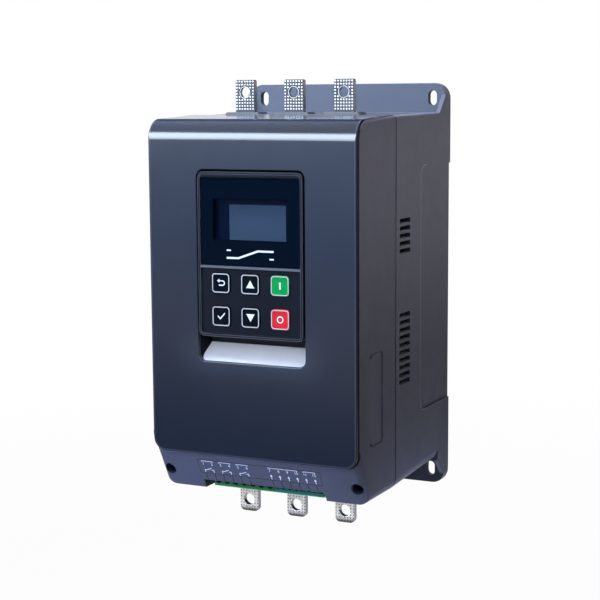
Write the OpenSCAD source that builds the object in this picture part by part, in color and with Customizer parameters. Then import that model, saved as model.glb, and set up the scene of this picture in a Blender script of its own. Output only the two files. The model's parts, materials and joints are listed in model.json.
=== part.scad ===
// Wall-mounted three-phase soft starter with a pull-out keypad.
// X is across, Z is up, and the wall is the plane Y = 0 with the unit in front of it at negative Y.
// The origin is the centre of the four mounting slots on the back face.
// Depths are measured from the wall towards the front, heights from the origin.

/* [Wall flange] */
// Width of the wall flange
flange_w = 120; // [118:1:126]
// Height of the wall flange
flange_h = 222; // [218:1:232]
// Thickness of the flange and of the back wall
flange_t = 4; // [3:0.5:5]
// Corner radius of the flange
flange_r = 8; // [5:1:11]
// Width of the raised rim along the sides of the flange
rim_w = 2.2; // [1.5:0.1:3]
// Depth of that rim from the wall
rim_d = 7.5; // [6:0.5:10]
// Distance of a mounting slot from the side of the flange
slot_in = 9; // [8:0.5:11]
// Distance of a mounting slot from the end of the flange
slot_end = 7.9; // [7.5:0.1:9]
// Width of a mounting slot
slot_w = 5; // [4:0.1:6]
// Length of a mounting slot
slot_len = 8.2; // [6:0.2:10]

/* [Base housing] */
// Height of the top of the base at the wall
base_top = 95.2; // [94:0.2:98]
// Distance of the bottom of the base below the origin, at the wall
base_bottom = 94.2; // [93:0.2:97]
// Depth of the seam between base and cover
seam_d = 76.5; // [76:0.5:79]
// Gap that shows at the seam
seam_gap = 0.6; // [0.3:0.1:1]
// Wall thickness of the base
base_wall = 3; // [2.5:0.1:3.5]
// How much each side draws in from the wall to the seam
base_draft = 1.25; // [0.5:0.05:1.8]
// How much the top falls from the wall to the seam
base_fall = 0.9; // [0:0.1:1.5]
// How much the bottom drops from the wall to the seam
base_sag = 3.8; // [2.5:0.1:5]
// Radius of the lower long edges
corner_r = 6.6; // [4:0.2:8]
// Radius of the upper long edges
edge_r = 1.2; // [0.6:0.1:2]
// Depth at which the side gussets start
gusset_d = 17; // [14:0.5:20]
// Depth of the shallow recess in the sides
recess_t = 0.7; // [0.5:0.1:1]
// Depth of the front edge of that recess from the wall
recess_front = 43; // [36:1:50]
// Top of the side recess
recess_top = 68; // [60:1:74]
// Bottom of the side recess
recess_bottom = 62; // [54:1:70]
// Corner radius of the side recess
recess_r = 5; // [3:0.5:8]
// Length of a side vent
vent_len = 14; // [10:0.5:15]
// Height of a side vent
vent_h = 2.4; // [1.8:0.1:2.8]
// Pitch of the side vents
vent_pitch = 3.88; // [3.6:0.02:4.2]
// Depth of the middle of the side vents
vent_d = 64.8; // [62:0.2:66]
// Height of the top vent of the upper group
vent_upper_z = 41.1; // [36:0.1:46]
// Number of vents in the upper group
vent_upper_n = 5; // [3:1:7]
// Distance of the top vent of the lower group below the origin
vent_lower_z = 7.5; // [4:0.1:10]
// Number of vents in the lower group
vent_lower_n = 10; // [6:1:12]
// Width of a slot of the top and bottom air grilles
grille_w = 3; // [2:0.1:3.6]
// Pitch of those slots
grille_pitch = 6; // [5:0.2:8]
// Length of those slots
grille_len = 38; // [26:1:42]
// Depth of the middle of the air grilles
grille_d = 36; // [34:1:40]

/* [Front cover] */
// Depth of the polished face from the wall
face_d = 123.7; // [122.5:0.1:127]
// Height of the polished face above the cheeks
face_step = 1.3; // [0.8:0.1:1.6]
// How far the polished face stops short of the side
face_inset = 0.8; // [0.5:0.1:1.5]
// Radius of the top front edge
face_r = 10.5; // [8:0.5:14]
// Distance of the lower edge of the polished face below the origin
face_bottom = 76.8; // [75:0.2:80]
// Radius of the lower corners of the polished face
face_corner_r = 7; // [4:0.5:10]
// Rounding of the long edges of the polished face
face_edge_r = 0.8; // [0.4:0.1:1]
// Wall thickness of the cover
cover_wall = 2.5; // [2:0.1:3]
// How much each side draws in from the seam to the front
cover_draft = 0.75; // [0.3:0.05:1.2]
// How much the top falls from the seam to the front
cover_fall = 2.4; // [1.5:0.1:3]
// Slope of the lower fascia from upright
fascia_angle = 29.3; // [26:0.1:32]
// Distance of the lower edge of the fascia behind the polished face
fascia_reach = 14.7; // [13:0.1:15.5]
// Radius of the side edges of the fascia
fascia_r = 4.5; // [2:0.5:6]
// Distance of a cover screw from the side at the seam
cover_screw_in = 5.55; // [5.2:0.05:6]
// Distance of the cover screws below the origin
cover_screw_z = 88.7; // [87:0.1:89.5]
// Diameter of the screw wells in the fascia
well_bore = 6.2; // [5.8:0.1:6.8]
// Width of the terminal notch
notch_w = 68.6; // [67:0.2:72]
// Distance of the top of the terminal notch below the origin
notch_z = 93.2; // [92.4:0.1:94]
// Depth of the side grip in the cover at its rear edge
grip_t = 0.55; // [0.4:0.05:0.9]

/* [Keypad] */
// Width of the keypad
pad_w = 57.8; // [56:0.2:60]
// Height of the keypad
pad_h = 82.7; // [81:0.1:86]
// Height of the middle of the keypad
pad_z = 26.25; // [24:0.25:28]
// Corner radius of the keypad
pad_r = 3; // [2:0.2:4]
// How far the keypad stands in front of the polished face
pad_proud = 0.5; // [0.2:0.1:1]
// Gap round the keypad in its window
window_gap = 0.9; // [0.5:0.1:1.2]
// Wall of the bezel
bezel_wall = 1.8; // [1.4:0.1:2.2]
// Thickness of the front panel of the bezel
panel_t = 2.8; // [2.6:0.1:3.4]
// Depth of the key panel and of the lens below the rim
panel_drop = 0.9; // [0.5:0.1:1.2]
// Distance of the display lens from the side of the keypad
lens_margin = 1.3; // [1.1:0.1:2.4]
// Height of the display lens
lens_h = 44.2; // [42:0.2:45]
// Height of the middle of the display lens
lens_z = 42.9; // [42:0.1:43.6]
// Thickness of the display lens
lens_t = 1.5; // [1:0.1:1.8]
// Distance of the display window from the side of the lens
display_margin = 6.7; // [6:0.1:7.6]
// Height of the display window
display_h = 21; // [20:0.2:23]
// Height of the middle of the display window
display_z = 44; // [43:0.1:45]
// How much narrower the lit area is than the display window
lit_less = 10.5; // [8:0.1:14]
// Height of the lit area of the display
lit_h = 17.7; // [16:0.1:18]
// Sideways place of the lit area
lit_x = 2.6; // [0:0.1:3]
// Height of the middle of the lit area
lit_z = 42.4; // [42.2:0.1:44]
// Side length of a key
key_size = 10; // [9:0.1:10.4]
// Distance of the outer keys from the side of the keypad
key_side = 7.5; // [7.2:0.1:8.3]
// Upright pitch of the keys
key_pitch_z = 16.75; // [15.5:0.05:17]
// Height of the middle of the key field
key_z = 3.72; // [3.4:0.02:4.2]
// How far a key stands in front of the key panel
key_proud = 0.8; // [0.5:0.1:0.9]
// Travel of a key
key_travel = 0.8; // [0.4:0.1:1]
// Clear height of the finger scoop below the keypad
scoop_h = 13; // [11:0.5:14]
// Height by which the scoop rises to the back
scoop_rise = 8; // [6:0.1:8.4]
// Thickness of the light plate on the slope of the scoop
scoop_t = 1.2; // [0.8:0.1:1.6]

/* [Bars] */
// Width of a bar
bar_w = 11.1; // [10.5:0.1:12]
// Thickness of a bar
bar_t = 3; // [2.5:0.1:3.5]
// Pitch of the bars
bar_pitch = 28.3; // [27.6:0.1:29]
// Depth of the mid plane of the bars
bar_d = 70.8; // [70:0.1:71.2]
// Height of the upper ends of the line bars
bar_top = 113; // [110:0.5:116]
// Distance of the lower ends of the load bars below the origin
bar_bottom = 119.3; // [116:0.5:122]
// Diameter of the bolt hole in a bar
bar_bore = 6.2; // [5.5:0.1:6.6]
// Distance of that hole from the end of the bar
bar_hole_inset = 6.5; // [5.5:0.1:7]
// Height of the insulating lands round the bars above the housing
strip_proud = 1.8; // [1.2:0.1:2.4]
// Width of one of those lands
land_w = 20.4; // [18:0.2:22]

/* [Control terminals] */
// Ways of the coarse plug
coarse_n = 7; // [5:1:7]
// Pitch of the coarse plug
coarse_pitch = 5; // [4.6:0.1:5.04]
// Sideways place of the first way of the coarse plug, to the left
coarse_x = 29.1; // [28.9:0.1:29.6]
// Ways of the fine plug
fine_n = 8; // [6:1:8]
// Pitch of the fine plug
fine_pitch = 3.5; // [3.2:0.1:3.54]
// Sideways place of the first way of the fine plug, to the right
fine_x = 5.3; // [5.3:0.1:5.6]
// Distance of the plugs behind the lower edge of the fascia
plug_setback = 3.5; // [3:0.1:5]
// Distance of the bottom of the plugs below the origin
plug_bottom = 97.6; // [97:0.1:98]
// Length of the plug nose inside its header
nose_len = 10.7; // [9:0.1:11.5]

/* [Inside] */
// Gap between the heat sink and the side walls
sink_gap = 5; // [4:0.5:6]
// Height of the heat sink
sink_h = 150; // [148:1:160]
// Depth of the mounting face of the heat sink
sink_front = 38; // [36:0.5:39]
// Thickness of the heat sink plate
sink_plate = 7; // [6:0.5:9]
// Thickness of a fin
fin_t = 1.8; // [1.4:0.1:2.2]
// Pitch of the fins
fin_pitch = 6.6; // [6:0.2:8]
// Width of a thyristor module
module_w = 24; // [22:0.5:25]
// Length of a thyristor module
module_len = 66; // [64:0.5:70]
// Height of a thyristor module above the heat sink
module_h = 22; // [20:0.5:23]
// Height of the middle of the modules
module_z = 18; // [15:0.5:20]
// Distance between the two terminals of a module
post_apart = 48; // [46:0.5:50]
// Clear depth between the control board and the keypad's tub
board_room = 15.4; // [14.8:0.1:15.8]
// Thickness of the circuit boards
board_t = 1.6; // [1.2:0.1:2]

/* [Hidden] */
$fn = 48;
// Thin slice for lofts, and overrun for cuts
slice = 0.02;
over = 1;
// Running clearance of a sliding fit, and seat clearance of a fixed piece
slip = 0.3;
seat = 0.1;

// Seam, sides and lower lines of the housing
base_front = seam_d - seam_gap / 2;
cover_back = seam_d + seam_gap / 2;
seam_half = flange_w / 2 - base_draft;
seam_top = base_top - base_fall;
seam_bottom = base_bottom + base_sag;
slot_across = flange_w - 2 * slot_in;
slot_apart = flange_h - 2 * slot_end;
cover_screw_across = 2 * (seam_half - cover_screw_in);
cheek_d = face_d - face_step;
cheek_half = seam_half - cover_draft;
cheek_top = seam_top - cover_fall;
cheek_r = face_r - face_step / 2;
face_half = cheek_half - face_inset;
face_slope = (cover_fall - 0.5) / (cheek_d - cover_back);
face_seam_top = seam_top + face_step / 2;
cover_slope = cover_fall / (cheek_d - cover_back);
fascia_foot = face_d - fascia_reach;
grip_d = cover_back + 0.537 * (cheek_d - cover_back);
grip_w = 0.344 * (cheek_d - cover_back);
grip_h = 46;
grip_z = -45;
well_depth = 8;
well_floor = cover_back + well_depth;
cover_screw_d = 3;
cover_screw_bite = 16;
tongue_len = 4;
tongue_t = 1.5;

// Keypad depths, from its rim back to its tub
pad_front = face_d + pad_proud;
pad_top = pad_z + pad_h / 2;
pad_bottom = pad_z - pad_h / 2;
panel_front = pad_front - panel_drop;
panel_back = panel_front - panel_t;
key_flange_t = 1;
key_flange = key_size + 1.4;
key_gap = 0.25;
key_r = 1.8;
switch_h = 4;
switch_top = panel_back - seat - key_flange_t - key_travel - seat;
pad_board_front = switch_top - switch_h;
pad_board_back = pad_board_front - board_t;
pad_post = 1.7;
pad_cover_t = 1.6;
pad_back = pad_board_back - pad_post - pad_cover_t;
tub_back = pad_back - 0.2;
tub_wall = 2;
window_half = pad_w / 2 + window_gap;
window_top = pad_top + window_gap;
scoop_low = pad_bottom - scoop_h;
scoop_slope = scoop_rise / (face_d - tub_back);
lens_w = pad_w - 2 * lens_margin;
display_w = lens_w - 2 * display_margin;
lit_w = display_w - lit_less;
key_pitch_x = (pad_w - key_size) / 2 - key_side;
board_front = tub_back - tub_wall - board_room;
plug_front = fascia_foot - plug_setback;
socket_h = 12;
link_bite = 3.5;
screw_in = 3.9;
link_w = 16;
link_h = 7;
link_z = pad_z;
socket_front = board_front + socket_h;
link_tip = socket_front - link_bite;

// Bars, posts and what is stacked on the heat sink
bar_xs = [-bar_pitch, 0, bar_pitch];
bar_back = bar_d - bar_t / 2;
bar_face = bar_d + bar_t / 2;
module_front = sink_front + module_h;
lug_t = 6;
lug_len = 6;
post_d = 9;
bar_bolt = 5;
bar_bolt_room = 5.4;
bar_lap = 6.5;
line_post_z = module_z + post_apart / 2;
load_post_z = module_z - post_apart / 2;
tab_t = 2;
tab_w = 10;
relay_w = 24;
relay_h = post_apart - 12;
relay_back = bar_face + 0.5;
relay_front = board_front - board_t - 1.4;
bolt_head_h = 3.4;
bolt_head_d = 8.4;
sensor_w = 25;
sensor_deep = 0.69 * 2 * (relay_front - bar_d);
sensor_h = 16;
sensor_z = -54;
strip_d = 9.8;
strip_back = base_front - 0.2 - strip_d;
strip_half = bar_pitch + bar_w / 2 + 2.6;
strip_flange = 1.4;
strip_low = 0.7;
sink_half = flange_w / 2 - base_wall - sink_gap;
sink_leg = 8;
sink_screw_x = sink_half - sink_leg / 2;
sink_screw_z = 60;
sink_screw_len = 12;
board_gap = 8.75;
board_half = seam_half - board_gap;
spacer_in = 4;
spacer_x = board_half - spacer_in;
spacer_flat = 7;
board_top = 62;
board_low = 75;
spacer_end = 8;
spacer_zs = [spacer_end - board_low, board_top - spacer_end];
board_step = 5;
header_back = board_front;
header_front = plug_front - 0.5;
clamp_up = 3.2;
header_wall = 0.7;
header_roof = 1.5;
pin_d = 0.7;
pin_room = 1;
header_top = plug_bottom - 22.6;
header_low = plug_bottom - 9.6;
nose_top = header_low - nose_len + slip;
coarse_span = [-coarse_x - coarse_pitch / 2, -coarse_x + (coarse_n - 0.5) * coarse_pitch];
fine_span = [fine_x - fine_pitch / 2, fine_x + (fine_n - 0.5) * fine_pitch];

// Parts on the control board
out_relay_w = 11;
out_relay_h = 20;
out_relay_tall = 11;
out_relay_pitch = 14;
out_relay_x = -30;
out_relay_low = 7;
out_relay_z = out_relay_h / 2 + out_relay_low - board_low;
coil_w = 14;
coil_core = 9;
coil_h = 12;
coil_foot = 3;
coil_tall = 9;
coil_end = 10;
coil_z = board_top - coil_end;
supply_w = 24;
supply_core = 17;
supply_h = 26;
supply_foot = 3;
supply_tall = 11;
supply_side = 11;
supply_low = 5;
supply_x = board_half - supply_w / 2 - supply_side;
supply_z = supply_h / 2 + supply_low - board_low;
can_d = 10;
can_tall = 11;
can_side = 12;
can_x = board_half - can_side;
can_zs = [-25, -10];
chip_w = 14;
chip_t = 1.6;
chip_z = -15;

// Points of an arc in the drawing plane
function arc(c, r, from, to, n = 8) =
  [for (i = [0:n]) c + r * [cos(from + (to - from) * i / n), sin(from + (to - from) * i / n)]];

// Depth of the fascia plane at a height, moved inwards by a wall
function fascia_d(z, inset = 0) =
  fascia_foot + (z + seam_bottom) * tan(fascia_angle) - inset / cos(fascia_angle);

// Height at which the fascia plane meets a depth
function fascia_z(d, inset = 0) =
  (d + inset / cos(fascia_angle) - fascia_foot) / tan(fascia_angle) - seam_bottom;

// Centre of the top front arc that is tangent to a falling top line and an upright front
function nose_centre(front, r, seam_height, slope) =
  [front - r, seam_height - slope * (front - r - cover_back) - r * sqrt(1 + slope * slope)];

// Height of the base's top and bottom at a depth
function base_top_at(d) =
  base_top - base_fall * max(0, d - gusset_d) / (base_front - gusset_d);
function base_bottom_at(d) = base_bottom + base_sag * d / base_front;

// Extrudes a front-view outline forwards from depth d
module forward(d, t) {
  translate([0, -d, 0])
    rotate([90, 0, 0])
      linear_extrude(t)
        children();
}

// Extrudes a side-view outline, drawn as depth and height, across a width
module sideways(w) {
  rotate([90, 0, -90])
    linear_extrude(w, center = true)
      children();
}

// Block between limits across, in depth and in height
module block(x, d, z) {
  translate([x[0], -d[1], z[0]])
    cube([x[1] - x[0], d[1] - d[0], z[1] - z[0]]);
}

// Round rod along the depth
module rod(dia, d0, d1) {
  translate([0, -d0, 0])
    rotate([90, 0, 0])
      cylinder(d = dia, h = d1 - d0);
}

// Upright round rod
module upright(dia, z0, z1) {
  translate([0, 0, z0])
    cylinder(d = dia, h = z1 - z0);
}

// Rounded rectangle about the origin
module rounded(w, h, r) {
  polygon(concat(
    arc([w / 2 - r, h / 2 - r], r, 0, 90),
    arc([-w / 2 + r, h / 2 - r], r, 90, 180),
    arc([-w / 2 + r, -h / 2 + r], r, 180, 270),
    arc([w / 2 - r, -h / 2 + r], r, 270, 360)));
}

// Front outline of the housing with small upper and large lower corners
module outline(half, top, bottom, inset) {
  rt = max(edge_r - inset, 0.3);
  rb = max(corner_r - inset, 0.5);
  h = half - inset;
  t = top - inset;
  b = bottom - inset;
  polygon(concat(
    arc([h - rt, t - rt], rt, 0, 90, 4),
    arc([-h + rt, t - rt], rt, 90, 180, 4),
    arc([-h + rb, -b + rb], rb, 180, 270),
    arc([h - rb, -b + rb], rb, 270, 360)));
}

// Both sides of the unit
module both_sides() {
  for (side = [0, 1])
    mirror([side, 0, 0])
      children();
}

// Lofted form of the rear housing, moved inwards by a wall
module base_form(back, front, inset) {
  hull() {
    forward(back, slice)
      outline(flange_w / 2, base_top, base_bottom, inset);
    forward(gusset_d, slice)
      outline(flange_w / 2, base_top, base_bottom, inset);
    forward(front - slice, slice)
      outline(seam_half, seam_top, seam_bottom, inset);
  }
}

// Wall plate with a rim along its sides and gussets up to the housing
module flange() {
  forward(0, flange_t)
    rounded(flange_w, flange_h, flange_r);
  forward(0, rim_d)
    difference() {
      rounded(flange_w, flange_h, flange_r);
      square([flange_w - 2 * rim_w, flange_h + over], center = true);
    }
  intersection() {
    both_sides()
      translate([(flange_w - rim_w) / 2, 0, 0])
        sideways(rim_w)
          gusset_outline();
    forward(0, gusset_d + over)
      rounded(flange_w, flange_h, flange_r);
  }
}

// Side view of the upper and lower gussets
module gusset_outline() {
  low = base_bottom_at(gusset_d);
  reach = gusset_d - rim_d;
  polygon([
    [0, base_top - corner_r], [gusset_d, base_top - corner_r], [gusset_d, base_top],
    [rim_d, base_top + reach], [rim_d, flange_h / 2], [0, flange_h / 2]]);
  polygon([
    [0, -low + corner_r], [gusset_d, -low + corner_r], [gusset_d, -low],
    [rim_d, -low - reach], [rim_d, -flange_h / 2], [0, -flange_h / 2]]);
}

// Obround mounting slot through the flange
module mounting_slot() {
  ends = (slot_len - slot_w) / 2;
  for (z = [-ends, ends])
    translate([0, 0, z])
      rod(slot_w, -over, flange_t + over);
  block([-slot_w / 2, slot_w / 2], [-over, flange_t + over], [-ends, ends]);
}

// Row of vents through one side wall, from a top height downwards
module vent_row(top_z, n) {
  for (i = [0:n - 1])
    block([seam_half - base_wall - over, flange_w / 2 + over],
      [vent_d - vent_len / 2, vent_d + vent_len / 2],
      [top_z - i * vent_pitch - vent_h / 2, top_z - i * vent_pitch + vent_h / 2]);
}

// Slots of the air grille through the top or bottom wall
module grille(z) {
  n = floor((sink_half - grille_w) / grille_pitch);
  for (i = [-n:n])
    block([i * grille_pitch - grille_w / 2, i * grille_pitch + grille_w / 2],
      [grille_d - grille_len / 2, grille_d + grille_len / 2], z);
}

// Opening for an insulating strip, open to the seam
module strip_notch(z) {
  block([-strip_half, strip_half], [strip_back - 0.2, seam_d + over], z);
}

module base_housing() {
  color("#3c3f47")
    difference() {
      union() {
        difference() {
          base_form(0, base_front, 0);
          base_form(flange_t, base_front + over, base_wall);
        }
        flange();
        both_sides()
          translate([cover_screw_across / 2, 0, -cover_screw_z])
            rod(8.4, flange_t - slice, base_front);
      }
      for (x = [-1, 1], z = [-1, 1])
        translate([x * slot_across / 2, 0, z * slot_apart / 2])
          mounting_slot();
      base_side_recesses();
      both_sides()
        base_side_cuts();
      grille([seam_top - base_wall - over, base_top + over]);
      grille([-seam_bottom - over, -base_bottom + base_wall + over]);
      strip_notch([seam_top - base_wall - over, base_top + over]);
      strip_notch([-seam_bottom - over, -base_bottom + base_wall + over]);
      for (x = [-1, 1], z = [-1, 1])
        translate([x * sink_screw_x, 0, z * sink_screw_z]) {
          rod(4.4, -over, flange_t + over);
          rod(8, -over, flange_t - 1.6);
        }
    }
}

// Shallow recesses of even depth in both sides of the base
module base_side_recesses() {
  difference() {
    both_sides()
      translate([flange_w / 2, 0, 0])
        sideways(4 * base_wall)
          polygon(concat(
            [[-over, -recess_bottom]],
            arc([recess_front - recess_r, -recess_bottom + recess_r], recess_r, -90, 0, 5),
            arc([recess_front - recess_r, recess_top - recess_r], recess_r, 0, 90, 5),
            [[-over, recess_top]]));
    base_form(-2 * over, base_front, recess_t);
  }
}

// Vents and screw hole of the right-hand side of the base
module base_side_cuts() {
  vent_row(vent_upper_z, vent_upper_n);
  vent_row(-vent_lower_z, vent_lower_n);
  translate([cover_screw_across / 2, 0, -cover_screw_z])
    rod(cover_screw_d + 2 * seat, base_front - cover_screw_bite - 4, base_front + over);
}

// Side view of the cover, moved inwards by a wall
module cover_profile(inset) {
  front = cheek_d - inset;
  c = nose_centre(cheek_d, cheek_r, seam_top, cover_slope);
  polygon(concat(
    [[cover_back - over, base_top + over], [c[0], base_top + over]],
    arc(c, cheek_r - inset, 90 - atan(cover_slope), 0),
    [[front, fascia_z(front, inset)],
     [fascia_d(-seam_bottom - over, inset), -seam_bottom - over],
     [cover_back - over, -seam_bottom - over]]));
}

// Lofted form of the cover with its nose and fascia, moved inwards by a wall
module cover_form(back, inset) {
  intersection() {
    hull() {
      forward(back, slice)
        outline(seam_half, seam_top, seam_bottom, inset);
      forward(cheek_d, slice)
        outline(cheek_half, cheek_top, seam_bottom, inset);
    }
    sideways(flange_w)
      cover_profile(inset);
  }
}

// Raised polished face that wraps over the top front edge
module face_form() {
  c = nose_centre(face_d, face_r, face_seam_top, face_slope);
  r = face_edge_r;
  intersection() {
    sideways(2 * face_half)
      polygon(concat(
        [[cover_back, face_seam_top]],
        arc(c, face_r, 90 - atan(face_slope), 0, 12),
        [[face_d, -face_bottom], [cheek_d - cover_wall, -face_bottom],
         [cheek_d - cover_wall, c[1]], [cover_back, c[1]]]));
    forward(cover_back, face_d)
      polygon(concat(
        [[face_half, base_top + over], [-face_half, base_top + over]],
        arc([-face_half + face_corner_r, -face_bottom + face_corner_r], face_corner_r, 180, 270),
        arc([face_half - face_corner_r, -face_bottom + face_corner_r], face_corner_r, 270, 360)));
    translate([0, 0, -flange_h / 2])
      linear_extrude(flange_h)
        polygon(concat(
          [[face_half, -cover_back + over], [-face_half, -cover_back + over]],
          arc([-face_half + r, -face_d + r], r, 180, 270, 4),
          arc([face_half - r, -face_d + r], r, 270, 360, 4)));
  }
}

// Half width of the cover's drawn-in sides at a depth
function side_half(d) = seam_half - cover_draft * (d - cover_back) / (cheek_d - cover_back);

// Space behind the fascia plane, with rounded edges that run along the drawn-in sides
module fascia_space() {
  r = fascia_r;
  reach = flange_h / 2;
  translate([0, -fascia_foot, -seam_bottom])
    rotate([fascia_angle, 0, 0]) {
      hull()
        for (up = [-reach, reach])
          translate([0, 0, up])
            linear_extrude(slice)
              fascia_section(side_half(fascia_foot - r * cos(fascia_angle) + up * sin(fascia_angle)) + slice);
      translate([-flange_w, r, -reach])
        cube([2 * flange_w, flange_h, 2 * flange_h]);
    }
}

// Section across the fascia, from its plane to behind its rounded side edges
module fascia_section(half) {
  r = fascia_r;
  polygon(concat(
    [[half, r + over], [-half, r + over]],
    arc([-half + r, r], r, 180, 270, 6),
    arc([half - r, r], r, 270, 360, 6)));
}

module cover_skin() {
  intersection() {
    cover_form(cover_back, 0);
    fascia_space();
  }
  face_form();
}

// Outline of the keypad window with the finger scoop, moved inwards by a clearance
module window_outline(inset) {
  h = window_top - scoop_low;
  translate([0, (window_top + scoop_low) / 2])
    rounded(2 * (window_half - inset), h - 2 * inset, pad_r + window_gap - inset);
}

// Height of the scoop's slope at a depth
function scoop_z(d) = scoop_low + scoop_slope * (face_d - d);

// Space of the keypad and the finger scoop, with the slope lowered by a plate
module pad_space() {
  intersection() {
    sideways(flange_w)
      polygon([
        [tub_back, window_top + over], [pad_front + over, window_top + over],
        [pad_front + over, scoop_z(pad_front + over) - scoop_t], [tub_back, scoop_z(tub_back) - scoop_t]]);
    forward(tub_back - over, pad_front)
      window_outline(0);
  }
}

// Tub behind the window, screw tubes and walls beside the terminal notch
module cover_inside() {
  difference() {
    forward(tub_back - tub_wall, face_d)
      window_outline(-tub_wall);
    sideways(flange_w)
      polygon([
        [tub_back - tub_wall - over, scoop_z(tub_back) - scoop_t - 2 * tub_wall],
        [face_d, scoop_low - scoop_t - tub_wall], [face_d, scoop_low - 20],
        [tub_back - tub_wall - over, scoop_low - 20]]);
  }
  both_sides() {
    translate([cover_screw_across / 2, 0, -cover_screw_z])
      rod(well_bore + 3.4, cover_back, face_d);
    block([notch_w / 2, notch_w / 2 + tub_wall], [board_front + over, face_d],
      [-seam_bottom, -notch_z + 7]);
  }
}

// Rib that reaches behind the edge of the base along the sides
module tongue() {
  outer = seam_half - base_wall - slip;
  translate([0, 0, -cover_screw_z + 10])
    linear_extrude(seam_top + cover_screw_z - 20)
      polygon([
        [outer - tongue_t, -cover_back + tongue_len], [outer, -cover_back + tongue_len],
        [outer, -cover_back], [seam_half - cover_wall + 0.5, -cover_back],
        [seam_half - cover_wall + 0.5, -cover_back - tongue_len],
        [outer - tongue_t, -cover_back - tongue_len]]);
}

module front_cover() {
  color("#2f3646")
    difference() {
      union() {
        difference() {
          cover_skin();
          cover_form(cover_back - over, cover_wall);
        }
        intersection() {
          cover_skin();
          cover_inside();
        }
        both_sides()
          tongue();
      }
      pad_space();
      forward(tub_back - tub_wall - over, tub_wall + 2 * over)
        translate([0, link_z])
          rounded(link_w + 2, link_h + 2, 1);
      block([-notch_w / 2, notch_w / 2], [board_front - board_t - over, face_d],
        [-seam_bottom - over, -notch_z]);
      both_sides()
        cover_side_cuts();
    }
}

// Screw well and side grip on the right of the cover; the grip's floor dips from its front edge to the rear
module cover_side_cuts() {
  grip_front = grip_d + grip_w / 2;
  dip = side_half(grip_front) - side_half(grip_front - grip_w) + grip_t;
  translate([cover_screw_across / 2, 0, -cover_screw_z]) {
    rod(well_bore, well_floor, face_d);
    rod(cover_screw_d + 4 * seat, cover_back - over, well_floor + over);
  }
  translate([side_half(grip_front), -grip_front, grip_z])
    rotate([0, 0, asin(dip / grip_w)])
      translate([cover_wall, 0, 0])
        sideways(2 * cover_wall)
          translate([-grip_w / 2, 0])
            rounded(grip_w, grip_h, 2);
}

module cover_screws() {
  color("#8a8d92")
    both_sides()
      translate([cover_screw_across / 2, 0, -cover_screw_z])
        difference() {
          union() {
            rod(cover_screw_d, base_front - cover_screw_bite, well_floor);
            rod(well_bore - 2 * slip, well_floor, well_floor + 2.4);
          }
          block([-2, 2], [well_floor + 1.2, well_floor + 3], [-0.5, 0.5]);
          block([-0.5, 0.5], [well_floor + 1.2, well_floor + 3], [-2, 2]);
        }
}

module scoop_plate() {
  front = face_d - slip;
  back = tub_back + slip;
  color("#c4cad9")
    intersection() {
      sideways(flange_w)
        polygon([
          [back, scoop_z(back)], [front, scoop_z(front)],
          [front, scoop_z(front) - scoop_t], [back, scoop_z(back) - scoop_t]]);
      forward(tub_back, face_d)
        window_outline(slip);
    }
}

// Insulating strip of I section with a raised land round each bar, drawn for the top:
// outer and inner height of the wall it grips
module strip(outer, inner) {
  lip = 1.5;
  inside = strip_half + strip_flange;
  land = land_w / 2;
  bank = strip_proud - strip_low;
  difference() {
    union() {
      forward(strip_back, strip_d)
        polygon([
          [-inside, inner - slip - lip], [inside, inner - slip - lip], [inside, inner - slip],
          [strip_half - slip, inner - slip], [strip_half - slip, outer + slip], [inside, outer + slip],
          [inside, outer + strip_low], [-inside, outer + strip_low],
          [-inside, outer + slip], [-strip_half + slip, outer + slip],
          [-strip_half + slip, inner - slip], [-inside, inner - slip]]);
      for (x = bar_xs)
        forward(strip_back, strip_d)
          polygon([
            [x - land, outer + slip], [x + land, outer + slip], [x + land, outer + strip_low],
            [x + land - bank, outer + strip_proud], [x - land + bank, outer + strip_proud],
            [x - land, outer + strip_low]]);
    }
    for (x = bar_xs)
      block([x - bar_w / 2 - slip, x + bar_w / 2 + slip], [bar_back - slip, bar_face + slip],
        [inner - 5, outer + 5]);
  }
}

module line_strip() {
  color("#26282d")
    strip(base_top_at(strip_back), base_top_at(base_front) - base_wall);
}

module load_strip() {
  color("#26282d")
    mirror([0, 0, 1])
      strip(base_bottom_at(base_front), base_bottom_at(strip_back) - base_wall);
}

// Flat bar with a bolt hole near its outer end and one over a module terminal, drawn end upwards
module bar(inner_z, outer_z, post_z, end_r) {
  difference() {
    forward(bar_back, bar_t)
      polygon(concat(
        arc([bar_w / 2 - end_r, outer_z - end_r], end_r, 0, 90, 4),
        arc([-bar_w / 2 + end_r, outer_z - end_r], end_r, 90, 180, 4),
        [[-bar_w / 2, inner_z], [bar_w / 2, inner_z]]));
    translate([0, 0, outer_z - bar_hole_inset])
      rod(bar_bore, bar_back - over, bar_face + over);
    translate([0, 0, post_z])
      rod(bar_bolt_room, bar_back - over, bar_face + over);
  }
}

module line_bar(i) {
  color("#c9c9cc")
    translate([bar_xs[i], 0, 0])
      bar(line_post_z - bar_lap, bar_top, line_post_z, 1);
}

module load_bar(i) {
  color("#c9c9cc")
    translate([bar_xs[i], 0, 0])
      mirror([0, 0, 1])
        bar(-load_post_z - bar_lap, bar_bottom, -load_post_z, 2.5);
}

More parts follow.
